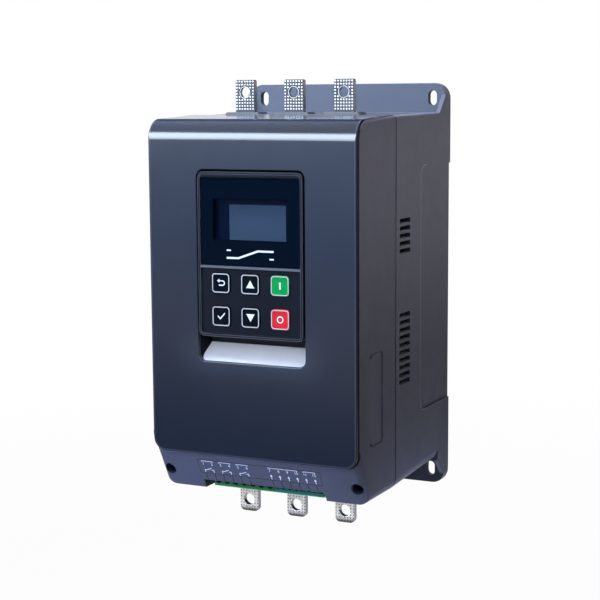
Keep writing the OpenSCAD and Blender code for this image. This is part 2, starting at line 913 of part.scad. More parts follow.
// Extruded heat sink with two mounting legs and upright fins
module heat_sink() {
  back = sink_front - sink_plate;
  n = floor((sink_half - sink_leg - fin_t) / fin_pitch);
  color("#b4b7ba")
    difference() {
      translate([0, 0, -sink_h / 2])
        linear_extrude(sink_h)
          union() {
            translate([-sink_half, -sink_front])
              square([2 * sink_half, sink_plate]);
            for (x = [-sink_half, sink_half - sink_leg])
              translate([x, -back - slice])
                square([sink_leg, back + slice - flange_t]);
            for (i = [-n:n])
              translate([i * fin_pitch - fin_t / 2, -back - slice])
                square([fin_t, back + slice - flange_t - 2]);
          }
      for (x = bar_xs, end = [-1, 1])
        translate([x, 0, module_z + end * (module_len + lug_len) / 2])
          rod(4.2, back - over, sink_front + over);
      for (x = [-1, 1], z = spacer_zs)
        translate([x * spacer_x, 0, z])
          rod(3.2, sink_front - 6, sink_front + over);
      for (x = [-1, 1], z = [-1, 1])
        translate([x * sink_screw_x, 0, z * sink_screw_z])
          rod(4, flange_t - over, flange_t + sink_screw_len);
    }
}

module heat_sink_screws() {
  seat_d = flange_t - 1.6;
  color("#8a8d92")
    for (x = [-1, 1], z = [-1, 1])
      translate([x * sink_screw_x, 0, z * sink_screw_z])
        difference() {
          union() {
            rod(3.8, seat_d, flange_t + sink_screw_len - 1);
            rod(7.4, 0.4, seat_d);
          }
          block([-2.2, 2.2], [0, 1.5], [-0.5, 0.5]);
          block([-0.5, 0.5], [0, 1.5], [-2.2, 2.2]);
        }
}

// Potted module with a metal foot at each end and a stepped top
module thyristor_module(i) {
  half = module_len / 2;
  foot = half + lug_len;
  color("#2a2b2e")
    translate([bar_xs[i], 0, module_z])
      difference() {
        sideways(module_w)
          polygon([
            [sink_front, -foot], [sink_front, foot], [sink_front + lug_t, foot], [sink_front + lug_t, half],
            [module_front - 6, half], [module_front - 6, half - 1], [module_front, half - 2],
            [module_front, -half + 2], [module_front - 6, -half + 1], [module_front - 6, -half],
            [sink_front + lug_t, -half], [sink_front + lug_t, -foot]]);
        for (end = [-1, 1])
          translate([0, 0, end * (half + lug_len / 2)])
            rod(4.4, sink_front - over, sink_front + lug_t + over);
        for (end = [-1, 1])
          translate([0, 0, end * post_apart / 2])
            rod(bar_bolt + 2 * seat, module_front - 6, module_front + over);
      }
}

module module_screws() {
  color("#8a8d92")
    for (x = bar_xs, end = [-1, 1])
      translate([x, 0, module_z + end * (module_len + lug_len) / 2]) {
        rod(4, sink_front - sink_plate + over, sink_front + lug_t);
        difference() {
          rod(5.6, sink_front + lug_t, sink_front + lug_t + 3);
          rod(2.6, sink_front + lug_t + 1.4, sink_front + lug_t + 4);
        }
      }
}

module terminal_posts() {
  color("#b79a55")
    for (x = bar_xs, z = [load_post_z, line_post_z])
      translate([x, 0, z])
        difference() {
          rod(post_d, module_front, bar_back);
          rod(bar_bolt + 2 * seat, module_front - over, bar_back + over);
        }
}

module bar_bolts() {
  top = bar_face + tab_t;
  color("#8a8d92")
    for (x = bar_xs, z = [load_post_z, line_post_z])
      translate([x, 0, z])
        difference() {
          union() {
            rod(bar_bolt, module_front - 5, top);
            rod(bolt_head_d, top, top + bolt_head_h);
          }
          rod(4, top + 1.4, top + bolt_head_h + over);
        }
}

// Bypass relay whose two contact tabs lie on the bars
module bypass_relay(i) {
  half = relay_h / 2;
  reach = post_apart / 2 + tab_w / 2;
  color("#1f2023")
    translate([bar_xs[i], 0, module_z])
      union() {
        sideways(relay_w)
          polygon([
            [relay_back, -half], [relay_back, half], [relay_front - 1.5, half], [relay_front, half - 1.5],
            [relay_front, -half + 1.5], [relay_front - 1.5, -half]]);
        difference() {
          forward(bar_face, tab_t)
            rounded(tab_w, 2 * reach, 2);
          forward(bar_face - over, tab_t + 2 * over)
            square([tab_w + over, relay_h - 2], center = true);
          for (end = [-1, 1])
            translate([0, 0, end * post_apart / 2])
              rod(bar_bolt_room, bar_face - over, bar_face + tab_t + over);
        }
      }
}

// Potted current transformer threaded on a load bar
module current_sensor(i) {
  color("#2c3d63")
    translate([bar_xs[i], 0, sensor_z - sensor_h / 2])
      linear_extrude(sensor_h)
        translate([0, -bar_d])
          difference() {
            rounded(sensor_w, sensor_deep, 3);
            square([bar_w + 2 * slip, bar_t + 2 * slip], center = true);
          }
}

module control_board() {
  color("#1f5a3a")
    difference() {
      forward(board_front - board_t, board_t)
        polygon([
          [-board_half, board_top], [board_half, board_top], [board_half, -board_low],
          [notch_w / 2 + tub_wall, -board_low - board_step], [notch_w / 2 + tub_wall, -header_low],
          [-notch_w / 2 - tub_wall, -header_low], [-notch_w / 2 - tub_wall, -board_low - board_step],
          [-board_half, -board_low]]);
      for (x = [-1, 1], z = spacer_zs)
        translate([x * spacer_x, 0, z])
          rod(3.4, board_front - board_t - over, board_front + over);
    }
}

module board_spacers() {
  top = board_front - board_t;
  color("#c2a85c")
    for (x = [-1, 1], z = spacer_zs)
      translate([x * spacer_x, 0, z])
        difference() {
          union() {
            translate([0, -sink_front, 0])
              rotate([90, 0, 0])
                cylinder(d = spacer_flat / cos(30), h = top - sink_front, $fn = 6);
            rod(3, sink_front - 5, sink_front + over);
          }
          rod(3, top - 8, top + over);
        }
}

module board_screws() {
  color("#8a8d92")
    for (x = [-1, 1], z = spacer_zs)
      translate([x * spacer_x, 0, z])
        difference() {
          union() {
            rod(2.8, board_front - board_t - 6, board_front);
            rod(5.6, board_front, board_front + 2);
          }
          block([-1.8, 1.8], [board_front + 1.1, board_front + 3], [-0.45, 0.45]);
          block([-0.45, 0.45], [board_front + 1.1, board_front + 3], [-1.8, 1.8]);
        }
}

module output_relays() {
  color("#2b4fa0")
    for (i = [0:2])
      translate([out_relay_x + out_relay_pitch * i, 0, out_relay_z])
        forward(board_front, out_relay_tall)
          rounded(out_relay_w, out_relay_h, 1);
}

// Coil on a wider foot, about the origin
module coil(w, core, h, foot, tall) {
  forward(board_front, foot)
    rounded(w, h, 1);
  forward(board_front + foot, tall - foot)
    rounded(core, h, 1);
}

module pulse_transformers() {
  color("#c9a227")
    for (x = bar_xs)
      translate([x, 0, coil_z])
        coil(coil_w, coil_core, coil_h, coil_foot, coil_tall);
}

module supply_transformer() {
  color("#55585c")
    translate([supply_x, 0, supply_z])
      coil(supply_w, supply_core, supply_h, supply_foot, supply_tall);
}

module capacitors() {
  color("#202630")
    for (x = [-can_x, can_x], z = can_zs)
      translate([x, 0, z])
        union() {
          rod(can_d, board_front, board_front + can_tall);
          rod(0.9 * can_d, board_front + can_tall, board_front + can_tall + 0.4);
        }
}

module processor() {
  color("#18191b")
    translate([0, 0, chip_z])
      forward(board_front, chip_t)
        rounded(chip_w, chip_w, 0.6);
}

// Socket on the control board that the keypad plugs into
module keypad_socket() {
  color("#1c1d20")
    translate([0, 0, link_z])
      difference() {
        forward(board_front, socket_front - board_front)
          rounded(link_w + 5, link_h + 5, 1);
        forward(link_tip - slip, socket_front)
          rounded(link_w + 2 * slip, link_h + 2 * slip, 0.5);
      }
}

// Header with a shroud open downwards
module header(span) {
  difference() {
    block(span, [header_back, header_front], [-header_low, -header_top]);
    block([span[0] + header_wall, span[1] - header_wall],
      [header_back + header_roof, header_front - header_roof],
      [-header_low - over, -header_top - header_roof]);
  }
}

// Pins of a header, standing down from its roof
module pins(first, pitch, n) {
  for (i = [0:n - 1])
    translate([first + i * pitch, -(header_back + header_front) / 2, 0])
      upright(pin_d, -header_low + 1.5, -header_top - header_roof);
}

// Plug-in terminal strip with wire entries below and screws at the front
module plug(span, first, pitch, n) {
  mid = (header_back + header_front) / 2;
  bore = 0.64 * pitch;
  wire = [0.6 * pitch, 3.4];
  head = -header_low - slip;
  difference() {
    union() {
      sideways_span(span)
        polygon([
          [header_back + 0.6, head], [plug_front - 0.8, head], [plug_front, head - 0.8],
          [plug_front, -plug_bottom + 0.5], [plug_front - 0.5, -plug_bottom],
          [header_back + 0.6, -plug_bottom]]);
      block([span[0] + header_wall + slip, span[1] - header_wall - slip],
        [header_back + header_roof + slip, header_front - header_roof - slip], [head - slice, -nose_top]);
    }
    for (i = [0:n - 1])
      translate([first + i * pitch, 0, 0]) {
        block([-wire[0] / 2, wire[0] / 2], [mid - wire[1] / 2, mid + wire[1] / 2],
          [-plug_bottom - over, -plug_bottom + 7]);
        translate([0, 0, -plug_bottom + clamp_up])
          rod(bore, mid, plug_front + over);
        translate([0, -mid, 0])
          upright(pin_room, -header_low + 1, -nose_top + over);
      }
  }
}

// Side-view outline extruded over a span across
module sideways_span(span) {
  translate([(span[0] + span[1]) / 2, 0, 0])
    sideways(span[1] - span[0])
      children();
}

// Slotted clamp screws of a plug
module plug_screws(first, pitch, n) {
  bore = 0.64 * pitch;
  mid = (header_back + header_front) / 2;
  for (i = [0:n - 1])
    translate([first + i * pitch, 0, -plug_bottom + clamp_up])
      difference() {
        rod(bore - 2 * seat, mid + 2.2, plug_front - 1.2);
        block([-pitch, pitch], [plug_front - 1.8, plug_front], [-0.3, 0.3]);
      }
}

module coarse_header() {
  color("#5d8f2f")
    header(coarse_span);
}

module coarse_pins() {
  color("#c9c9cc")
    pins(-coarse_x, coarse_pitch, coarse_n);
}

module fine_header() {
  color("#2f8f6a")
    header(fine_span);
}

module fine_pins() {
  color("#c9c9cc")
    pins(fine_x, fine_pitch, fine_n);
}

module coarse_plug() {
  color("#7fb13a")
    plug(coarse_span, -coarse_x, coarse_pitch, coarse_n);
}

module coarse_plug_screws() {
  color("#8a8d92")
    plug_screws(-coarse_x, coarse_pitch, coarse_n);
}

module fine_plug() {
  color("#3aa888")
    plug(fine_span, fine_x, fine_pitch, fine_n);
}

module fine_plug_screws() {
  color("#8a8d92")
    plug_screws(fine_x, fine_pitch, fine_n);
}

// Places of the keypad's four screws
module at_pad_screws() {
  for (x = [-1, 1], z = [pad_bottom + screw_in, pad_top - screw_in - 1.5])
    translate([x * (pad_w / 2 - screw_in), 0, z])
      children();
}

// Rounded outline of the keypad, moved inwards by a wall
module pad_outline(inset) {
  translate([0, pad_z])
    rounded(pad_w - 2 * inset, pad_h - 2 * inset, max(pad_r - inset, 0.6));
}

module keypad_bezel() {
  lens_front = pad_front - panel_drop + 0.3;
  field_top = lens_z - lens_h / 2 - 1.2;
  field_bottom = pad_bottom + 2;
  color("#20232b")
    difference() {
      union() {
        difference() {
          forward(pad_back, pad_front - pad_back)
            pad_outline(0);
          forward(pad_back - over, panel_back - pad_back + over)
            pad_outline(bezel_wall);
        }
        intersection() {
          at_pad_screws()
            rod(4.8, pad_board_front, panel_back + slice);
          forward(pad_back, pad_front - pad_back)
            pad_outline(bezel_wall / 2);
        }
      }
      forward(lens_front - lens_t, pad_front)
        translate([0, lens_z])
          rounded(lens_w + 2 * seat, lens_h + 2 * seat, 2);
      forward(panel_front, pad_front)
        translate([0, (field_top + field_bottom) / 2])
          rounded(lens_w, field_top - field_bottom, 2);
      forward(panel_back - over, pad_front)
        translate([0, display_z])
          rounded(display_w, display_h, 1);
      for (column = [-1:1], row = [-1, 1])
        translate([column * key_pitch_x, 0, key_z + row * key_pitch_z / 2])
          forward(panel_back - over, pad_front)
            rounded(key_size + 2 * key_gap, key_size + 2 * key_gap, key_r + key_gap);
      at_pad_screws()
        rod(1.8, pad_board_front - over, panel_back - 0.5);
    }
}

module display_lens() {
  front = pad_front - panel_drop + 0.3;
  color("#0c1220")
    forward(front - lens_t, lens_t)
      translate([0, lens_z])
        rounded(lens_w, lens_h, 1.9);
}

// Display on the keypad board, with its lit area raised in the middle of its frame
module display_module() {
  back = panel_back - 0.4;
  color("#42546f") {
    forward(pad_board_front, back - pad_board_front)
      translate([0, display_z])
        rounded(display_w + 4, display_h + 5, 0.8);
    forward(back - slice, 0.3)
      translate([lit_x, lit_z])
        rounded(lit_w, lit_h, 0.4);
  }
}

module keypad_board() {
  color("#1f5a3a")
    difference() {
      forward(pad_board_back, board_t)
        pad_outline(bezel_wall + slip);
      at_pad_screws()
        rod(2.6, pad_board_back - over, pad_board_front + over);
    }
}

module tact_switches() {
  color("#2c2d31")
    for (column = [-1:1], row = [-1, 1])
      translate([column * key_pitch_x, 0, key_z + row * key_pitch_z / 2]) {
        forward(pad_board_front, switch_h - 0.5)
          rounded(6, 6, 0.5);
        rod(3.4, switch_top - 0.5 - slice, switch_top);
      }
}

module keypad_back() {
  color("#20232b")
    difference() {
      union() {
        forward(pad_back, pad_cover_t)
          pad_outline(bezel_wall + 0.2);
        intersection() {
          at_pad_screws()
            rod(4.8, pad_back + pad_cover_t - slice, pad_board_back);
          forward(pad_back, pad_front)
            pad_outline(bezel_wall + 0.2);
        }
      }
      forward(pad_back - over, pad_cover_t + 2 * over)
        translate([0, link_z])
          rounded(link_w + 2 * slip, link_h + 2 * slip, 0.5);
      at_pad_screws() {
        rod(2.6, pad_back - over, pad_board_back + over);
        rod(4, pad_back - over, pad_back + 1.2);
      }
    }
}

module keypad_link() {
  color("#1c1d20")
    forward(link_tip, pad_board_back - link_tip)
      translate([0, link_z])
        rounded(link_w, link_h, 0.4);
}

module keypad_screws() {
  color("#8a8d92")
    at_pad_screws()
      difference() {
        union() {
          rod(1.7, pad_back + 1.2, panel_back - 1);
          rod(3.6, pad_back + 0.1, pad_back + 1.2);
        }
        block([-1.2, 1.2], [pad_back, pad_back + 0.7], [-0.3, 0.3]);
        block([-0.3, 0.3], [pad_back, pad_back + 0.7], [-1.2, 1.2]);
      }
}

// Key cap with a raised ring, held behind the panel by its flange
module key(column, row) {
  front = panel_front + key_proud;
  flange_front = panel_back - seat;
  ring = 0.9;
  translate([column * key_pitch_x, 0, key_z + row * key_pitch_z / 2])
    difference() {
      union() {
        forward(flange_front - slice, front - flange_front + slice)
          rounded(key_size, key_size, key_r);
        forward(flange_front - key_flange_t, key_flange_t)
          rounded(key_flange, key_flange, 0.8);
      }
      forward(front - 0.25, over)
        rounded(key_size - 2 * ring, key_size - 2 * ring, key_r - ring + 0.3);
    }
}

module key_back() {
  color("#1d1f24")
    key(-1, 1);
}

module key_up() {
  color("#1d1f24")
    key(0, 1);
}

module key_run() {
  color("#1f9a4d")
    key(1, 1);
}

module key_set() {
  color("#1d1f24")
    key(-1, -1);
}

module key_down() {
  color("#1d1f24")
    key(0, -1);
}

module key_stop() {
  color("#c2262e")
    key(1, -1);
}

base_housing();
front_cover();
cover_screws();
scoop_plate();
line_strip();
load_strip();
line_bar(0);  // line_bar_1
line_bar(1);  // line_bar_2
line_bar(2);  // line_bar_3
load_bar(0);  // load_bar_1
load_bar(1);  // load_bar_2
load_bar(2);  // load_bar_3
heat_sink();
heat_sink_screws();
thyristor_module(0);  // thyristor_module_1
thyristor_module(1);  // thyristor_module_2
thyristor_module(2);  // thyristor_module_3
module_screws();
terminal_posts();
bar_bolts();
bypass_relay(0);  // bypass_relay_1
bypass_relay(1);  // bypass_relay_2
bypass_relay(2);  // bypass_relay_3
current_sensor(0);  // current_sensor_1
current_sensor(1);  // current_sensor_2
current_sensor(2);  // current_sensor_3
control_board();
board_spacers();
board_screws();
output_relays();
pulse_transformers();
supply_transformer();
capacitors();
processor();
keypad_socket();
coarse_header();
coarse_pins();
fine_header();
fine_pins();
coarse_plug();
coarse_plug_screws();
fine_plug();
fine_plug_screws();
keypad_bezel();
display_lens();
display_module();
keypad_board();
tact_switches();
keypad_back();
keypad_link();
keypad_screws();
key_back();
key_up();
key_run();
key_set();
key_down();
key_stop();
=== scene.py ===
"""Looks of a wall-mounted three-phase soft starter with a pull-out keypad.

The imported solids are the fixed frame. Here they get softened edges and procedural finishes, and what
is too fine for the solids is added: knurled bar ends, the print on the keys, lens and lower fascia.
X is across, Z is up and the wall is the plane Y = 0, with the unit in front of it at negative Y.
Sizes of the object are written in millimetres and MM turns them into metres. A depth is measured from
the wall. The studio is written in metres.
"""

import json
import logging
import math
from dataclasses import dataclass, field
from enum import Enum
from typing import Any, Iterable, Sequence, Union

import bmesh
import bpy
from mathutils import Matrix, Vector

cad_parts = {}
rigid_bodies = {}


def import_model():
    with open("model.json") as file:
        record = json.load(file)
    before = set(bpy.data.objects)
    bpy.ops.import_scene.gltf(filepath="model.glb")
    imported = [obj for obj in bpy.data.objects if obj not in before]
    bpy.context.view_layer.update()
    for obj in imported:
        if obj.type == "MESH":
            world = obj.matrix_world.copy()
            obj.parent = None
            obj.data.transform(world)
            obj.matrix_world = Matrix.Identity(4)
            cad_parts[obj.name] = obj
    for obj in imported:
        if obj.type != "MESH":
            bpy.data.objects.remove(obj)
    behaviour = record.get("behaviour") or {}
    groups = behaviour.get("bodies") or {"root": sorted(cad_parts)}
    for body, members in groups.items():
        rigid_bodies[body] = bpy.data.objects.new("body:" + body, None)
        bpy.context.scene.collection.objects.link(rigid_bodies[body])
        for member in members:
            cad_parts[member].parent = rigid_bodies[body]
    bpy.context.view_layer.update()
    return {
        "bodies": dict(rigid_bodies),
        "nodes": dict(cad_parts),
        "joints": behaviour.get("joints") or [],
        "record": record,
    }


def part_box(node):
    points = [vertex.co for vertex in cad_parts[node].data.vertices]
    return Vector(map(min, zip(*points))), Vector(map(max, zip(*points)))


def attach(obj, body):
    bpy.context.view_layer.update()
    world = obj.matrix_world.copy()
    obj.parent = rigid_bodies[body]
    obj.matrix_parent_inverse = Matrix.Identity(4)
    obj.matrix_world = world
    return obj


LOG = logging.getLogger("soft_starter")
MM = 0.001
# Most of a noise lies between these values
NOISE_BAND = (0.3, 0.7)
BARS = (1, 2, 3)
Point = tuple[float, float]
Place = tuple[float, float, float]
Socket = bpy.types.NodeSocket
Value = Union[float, Sequence[float], Socket]


def linear(code: str) -> tuple[float, float, float, float]:
    """Turns a display colour into the linear colour that shaders use.

    Args:
        code: Six hexadecimal digits, as "2f3646".

    Returns:
        Red, green, blue and an alpha of one.
    """
    parts = [int(code[i : i + 2], 16) / 255 for i in (0, 2, 4)]
    values = [p / 12.92 if p <= 0.04045 else ((p + 0.055) / 1.055) ** 2.4 for p in parts]
    return (values[0], values[1], values[2], 1.0)


class Nodes:
    """A node tree of a material or of the world, with short ways to add to it."""

    def __init__(self, tree: bpy.types.NodeTree) -> None:
        """Starts the tree afresh, with no node in it."""
        self.tree = tree
        self.tree.nodes.clear()

    def add(self, kind: str) -> bpy.types.Node:
        """Adds a shader node of a kind and returns it."""
        return self.tree.nodes.new("ShaderNode" + kind)

    def feed(self, socket: Socket, value: Value) -> None:
        """Joins an input to an output, or sets its constant.

        Args:
            socket: The input.
            value: The output or the constant.
        """
        if isinstance(value, bpy.types.NodeSocket):
            self.tree.links.new(value, socket)
        else:
            socket.default_value = value

    def math(self, operation: str, first: Value, second: Value = 0.0) -> Socket:
        """Adds a math node.

        Args:
            operation: Name of the operation.
            first: First operand.
            second: Second operand.

        Returns:
            The result.
        """
        node = self.add("Math")
        node.operation = operation
        self.feed(node.inputs[0], first)
        self.feed(node.inputs[1], second)
        return node.outputs[0]

    def either_shader(self, factor: Socket, first: Socket, second: Socket) -> Socket:
        """Adds a choice between two shaders.

        Args:
            factor: 0 for the first shader and 1 for the second.
            first: First shader.
            second: Second shader.

        Returns:
            The mixed shader.
        """
        node = self.add("MixShader")
        for socket, value in zip(node.inputs, (factor, first, second)):
            self.feed(socket, value)
        return node.outputs[0]


class Graph(Nodes):
    """One material with a principled shader and the nodes that feed it."""

    def __init__(self, name: str) -> None:
        """Makes a material with its shader joined to the output.

        Args:
            name: Name of the material.
        """
        self.material = bpy.data.materials.new(name)
        self.material.use_nodes = True
        super().__init__(self.material.node_tree)
        self.surface = self.add("OutputMaterial").inputs["Surface"]
        self.shader = self.add("BsdfPrincipled")
        self.feed(self.surface, self.shader.outputs["BSDF"])

    def set(self, **values: Value) -> None:
        """Feeds inputs of the shader.

        Args:
            values: What is fed, by the input's name in lower case with underscores.
        """
        names = {s.name.lower().replace(" ", "_"): s for s in self.shader.inputs}
        for name, value in values.items():
            self.feed(names[name], value)

    def place(self) -> tuple[Socket, Socket, Socket]:
        """Finds the place on the object, in millimetres.

        Returns:
            The place across, the depth from the wall and the height.
        """
        split = self.add("SeparateXYZ")
        self.feed(split.inputs[0], self.add("TexCoord").outputs["Object"])
        scales = (1 / MM, -1 / MM, 1 / MM)
        across, depth, up = (self.math("MULTIPLY", out, s) for out, s in zip(split.outputs, scales))
        return across, depth, up

    def facing(self) -> tuple[Socket, Socket, Socket]:
        """Finds which way the surface faces.

        Returns:
            The three parts of its normal.
        """
        split = self.add("SeparateXYZ")
        self.feed(split.inputs[0], self.add("NewGeometry").outputs["Normal"])
        return split.outputs["X"], split.outputs["Y"], split.outputs["Z"]

    def noise(self, size_mm: float, detail: float, stretch: Place = (1.0, 1.0, 1.0)) -> Socket:
        """Adds noise fixed to the object.

        Args:
            size_mm: Size of its grains.
            detail: Octaves of finer noise in it.
            stretch: How many times finer it is along each axis.

        Returns:
            The noise, about a half.
        """
        mapping = self.add("Mapping")
        mapping.inputs["Scale"].default_value = [s / (size_mm * MM) for s in stretch]
        self.feed(mapping.inputs["Vector"], self.add("TexCoord").outputs["Object"])
        node = self.add("TexNoise")
        node.inputs["Scale"].default_value = 1.0
        node.inputs["Detail"].default_value = detail
        self.feed(node.inputs["Vector"], mapping.outputs["Vector"])
        return node.outputs["Fac"]

    def ramp(self, value: Socket, low: float, high: float, start: float = 0.0, end: float = 1.0) -> Socket:
        """Maps a value from one range to another with soft ends.

        Args:
            value: What is mapped.
            low: Value that gives start.
            high: Value that gives end.
            start: Result at and before low.
            end: Result at and after high.

        Returns:
            The mapped value.
        """
        node = self.add("MapRange")
        node.interpolation_type = "SMOOTHSTEP"
        self.feed(node.inputs["Value"], value)
        for name, number in (("From Min", low), ("From Max", high), ("To Min", start), ("To Max", end)):
            node.inputs[name].default_value = number
        return node.outputs["Result"]

    def vary(self, size_mm: float, detail: float, middle: float, spread: float) -> Socket:
        """Returns a value that varies over the surface by a spread about a middle."""
        return self.ramp(self.noise(size_mm, detail), *NOISE_BAND, middle - spread, middle + spread)

    def blend(self, factor: Socket, first: Value, second: Value) -> Socket:
        """Mixes two colours.

        Args:
            factor: 0 for the first colour and 1 for the second.
            first: First colour.
            second: Second colour.

        Returns:
            The mixed colour.
        """
        node = self.add("Mix")
        node.data_type = "RGBA"
        sockets = {socket.identifier: socket for socket in (*node.inputs, *node.outputs)}
        self.feed(sockets["Factor_Float"], factor)
        self.feed(sockets["A_Color"], first)
        self.feed(sockets["B_Color"], second)
        return sockets["Result_Color"]

    def both(self, first: Socket, second: Socket) -> Socket:
        """Returns a mask that is 1 where two masks are 1."""
        return self.math("MULTIPLY", first, second)

    def length(self, first: Socket, second: Socket) -> Socket:
        """Returns the length of a line from its two parts."""
        squares = [self.math("MULTIPLY", part, part) for part in (first, second)]
        return self.math("SQRT", self.math("ADD", squares[0], squares[1]))

    def inside(self, value: Socket, middle: float, half: float, soft: float = 0.15) -> Socket:
        """Returns 1 where a value is within half of the middle, fading out over soft."""
        away = self.math("ABSOLUTE", self.math("SUBTRACT", value, middle))
        return self.ramp(away, half - soft / 2, half + soft / 2, 1.0, 0.0)

    def window(self, middle: Point, half: Point) -> Socket:
        """Returns 1 inside an upright rectangle."""
        across, _, up = self.place()
        return self.both(self.inside(across, middle[0], half[0]), self.inside(up, middle[1], half[1]))

    def outside(self, along: Socket, up: Socket, middle: Point, half: Point, radius: float) -> Socket:
        """Measures how far a place lies outside an upright rounded rectangle, in millimetres.

        Args:
            along: The place along the rectangle's width.
            up: The place along its height.
            middle: Middle of the rectangle.
            half: Half of its width and height.
            radius: Radius of its corners.

        Returns:
            The distance, which is negative inside.
        """
        beyond = []
        for value, centre, reach in zip((along, up), middle, half):
            away = self.math("ABSOLUTE", self.math("SUBTRACT", value, centre))
            beyond.append(self.math("SUBTRACT", away, reach - radius))
        corner = self.length(*(self.math("MAXIMUM", side, 0.0) for side in beyond))
        nearest = self.math("MINIMUM", self.math("MAXIMUM", beyond[0], beyond[1]), 0.0)
        return self.math("SUBTRACT", self.math("ADD", corner, nearest), radius)

    def bump(self, height: Socket, depth_mm: float) -> None:
        """Feeds the shader's normal from a height field.

        Args:
            height: The height field, from 0 to 1.
            depth_mm: Its depth.
        """
        node = self.add("Bump")
        node.inputs["Strength"].default_value = 1.0
        node.inputs["Distance"].default_value = depth_mm * MM
        self.feed(node.inputs["Height"], height)
        self.feed(self.shader.inputs["Normal"], node.outputs["Normal"])


@dataclass(frozen=True)
class Line:
    """A coloured line on a surface: its place, half of its width and the width over which it fades."""

    place: float
    half: float
    soft: float
    colour: str

    def mask(self, graph: Graph, value: Socket) -> Socket:
        """Returns 1 where a value is on the line."""
        return graph.inside(value, self.place, self.half, self.soft)


@dataclass(frozen=True)
class Finish:
    """A finish with one colour that varies a little."""

    name: str
    colour: str
    roughness: float
    mottle: float = 0.06
    mottle_mm: float = 14.0

    def varied(self, graph: Graph, code: str) -> Socket:
        """Makes a colour vary slowly over the surface.

        Args:
            graph: Material that it is for.
            code: The colour.

        Returns:
            The varied colour.
        """
        base = linear(code)
        dark = [c * (1 - self.mottle) for c in base[:3]] + [1.0]
        light = [c * (1 + self.mottle) for c in base[:3]] + [1.0]
        return graph.blend(graph.vary(self.mottle_mm, 4.0, 0.5, 0.5), dark, light)

    def make(self) -> bpy.types.Material:
        """Builds the finish.

        Returns:
            The material.
        """
        graph = Graph(self.name)
        graph.set(base_color=self.varied(graph, self.colour), roughness=self.roughness)
        self.detail(graph)
        return graph.material

    def detail(self, graph: Graph) -> None:
        """Adds what a kind of finish has besides its colour."""


@dataclass(frozen=True)
class MouldedPlastic(Finish):
    """Moulded plastic with the fine texture of a spark-eroded mould and an uneven sheen."""

    grain_mm: float = 0.35
    grain_depth: float = 0.012
    specular: float = 0.5
    sheen_mm: float = 6.0
    sheen_spread: float = 0.04

    def sheen(self, graph: Graph) -> Socket:
        """Returns the uneven roughness."""
        return graph.vary(self.sheen_mm, 3.0, self.roughness, self.sheen_spread)

    def grain(self, graph: Graph) -> Socket:
        """Returns the height of the mould's texture."""
        return graph.noise(self.grain_mm, 3.0)

    def detail(self, graph: Graph) -> None:
        """Adds the grain and the sheen."""
        graph.set(roughness=self.sheen(graph), specular_ior_level=self.specular)
        graph.bump(self.grain(graph), self.grain_depth)


@dataclass(frozen=True)
class BasePlastic(MouldedPlastic):
    """Plastic of the base, with a painted highlight along the front edge of its side recesses and dark at the
    seam.
    """

    recess_front: float = 43.0
    recess_back: float = -100.0
    recess_low: float = -62.0
    recess_high: float = 68.0
    recess_r: float = 5.0
    # Painted highlight: a lighter line along the front edge of the side recesses, on the side faces near the
    # front
    lip: Line = Line(0.15, 0.25, 0.2, "80838c")
    lip_fade: Point = (12.0, 4.0)
    side_band: Point = (0.3, 0.5)
    seam: Line = Line(76.8, 0.4, 0.2, "0b0d12")

    def detail(self, graph: Graph) -> None:
        """Adds the painted highlight and the seam to the grain.

        Args:
            graph: Material that they are added to.
        """
        super().detail(graph)
        _, depth, up = graph.place()
        back, front, low, high = self.recess_back, self.recess_front, self.recess_low, self.recess_high
        middle = ((back + front) / 2, (low + high) / 2)
        half = ((front - back) / 2, (high - low) / 2)
        # Painted highlight: a lighter line round the front of the side recesses
        away = graph.outside(depth, up, middle, half, self.recess_r)
        sideways = graph.ramp(graph.math("ABSOLUTE", graph.facing()[0]), *self.side_band)
        ahead = graph.ramp(depth, front - self.lip_fade[0], front - self.lip_fade[1])
        lip = graph.both(self.lip.mask(graph, away), graph.both(sideways, ahead))
        lip_highlighted = graph.blend(lip, self.varied(graph, self.colour), linear(self.lip.colour))
        seam = self.seam.mask(graph, depth)
        graph.set(base_color=graph.blend(seam, lip_highlighted, linear(self.seam.colour)))


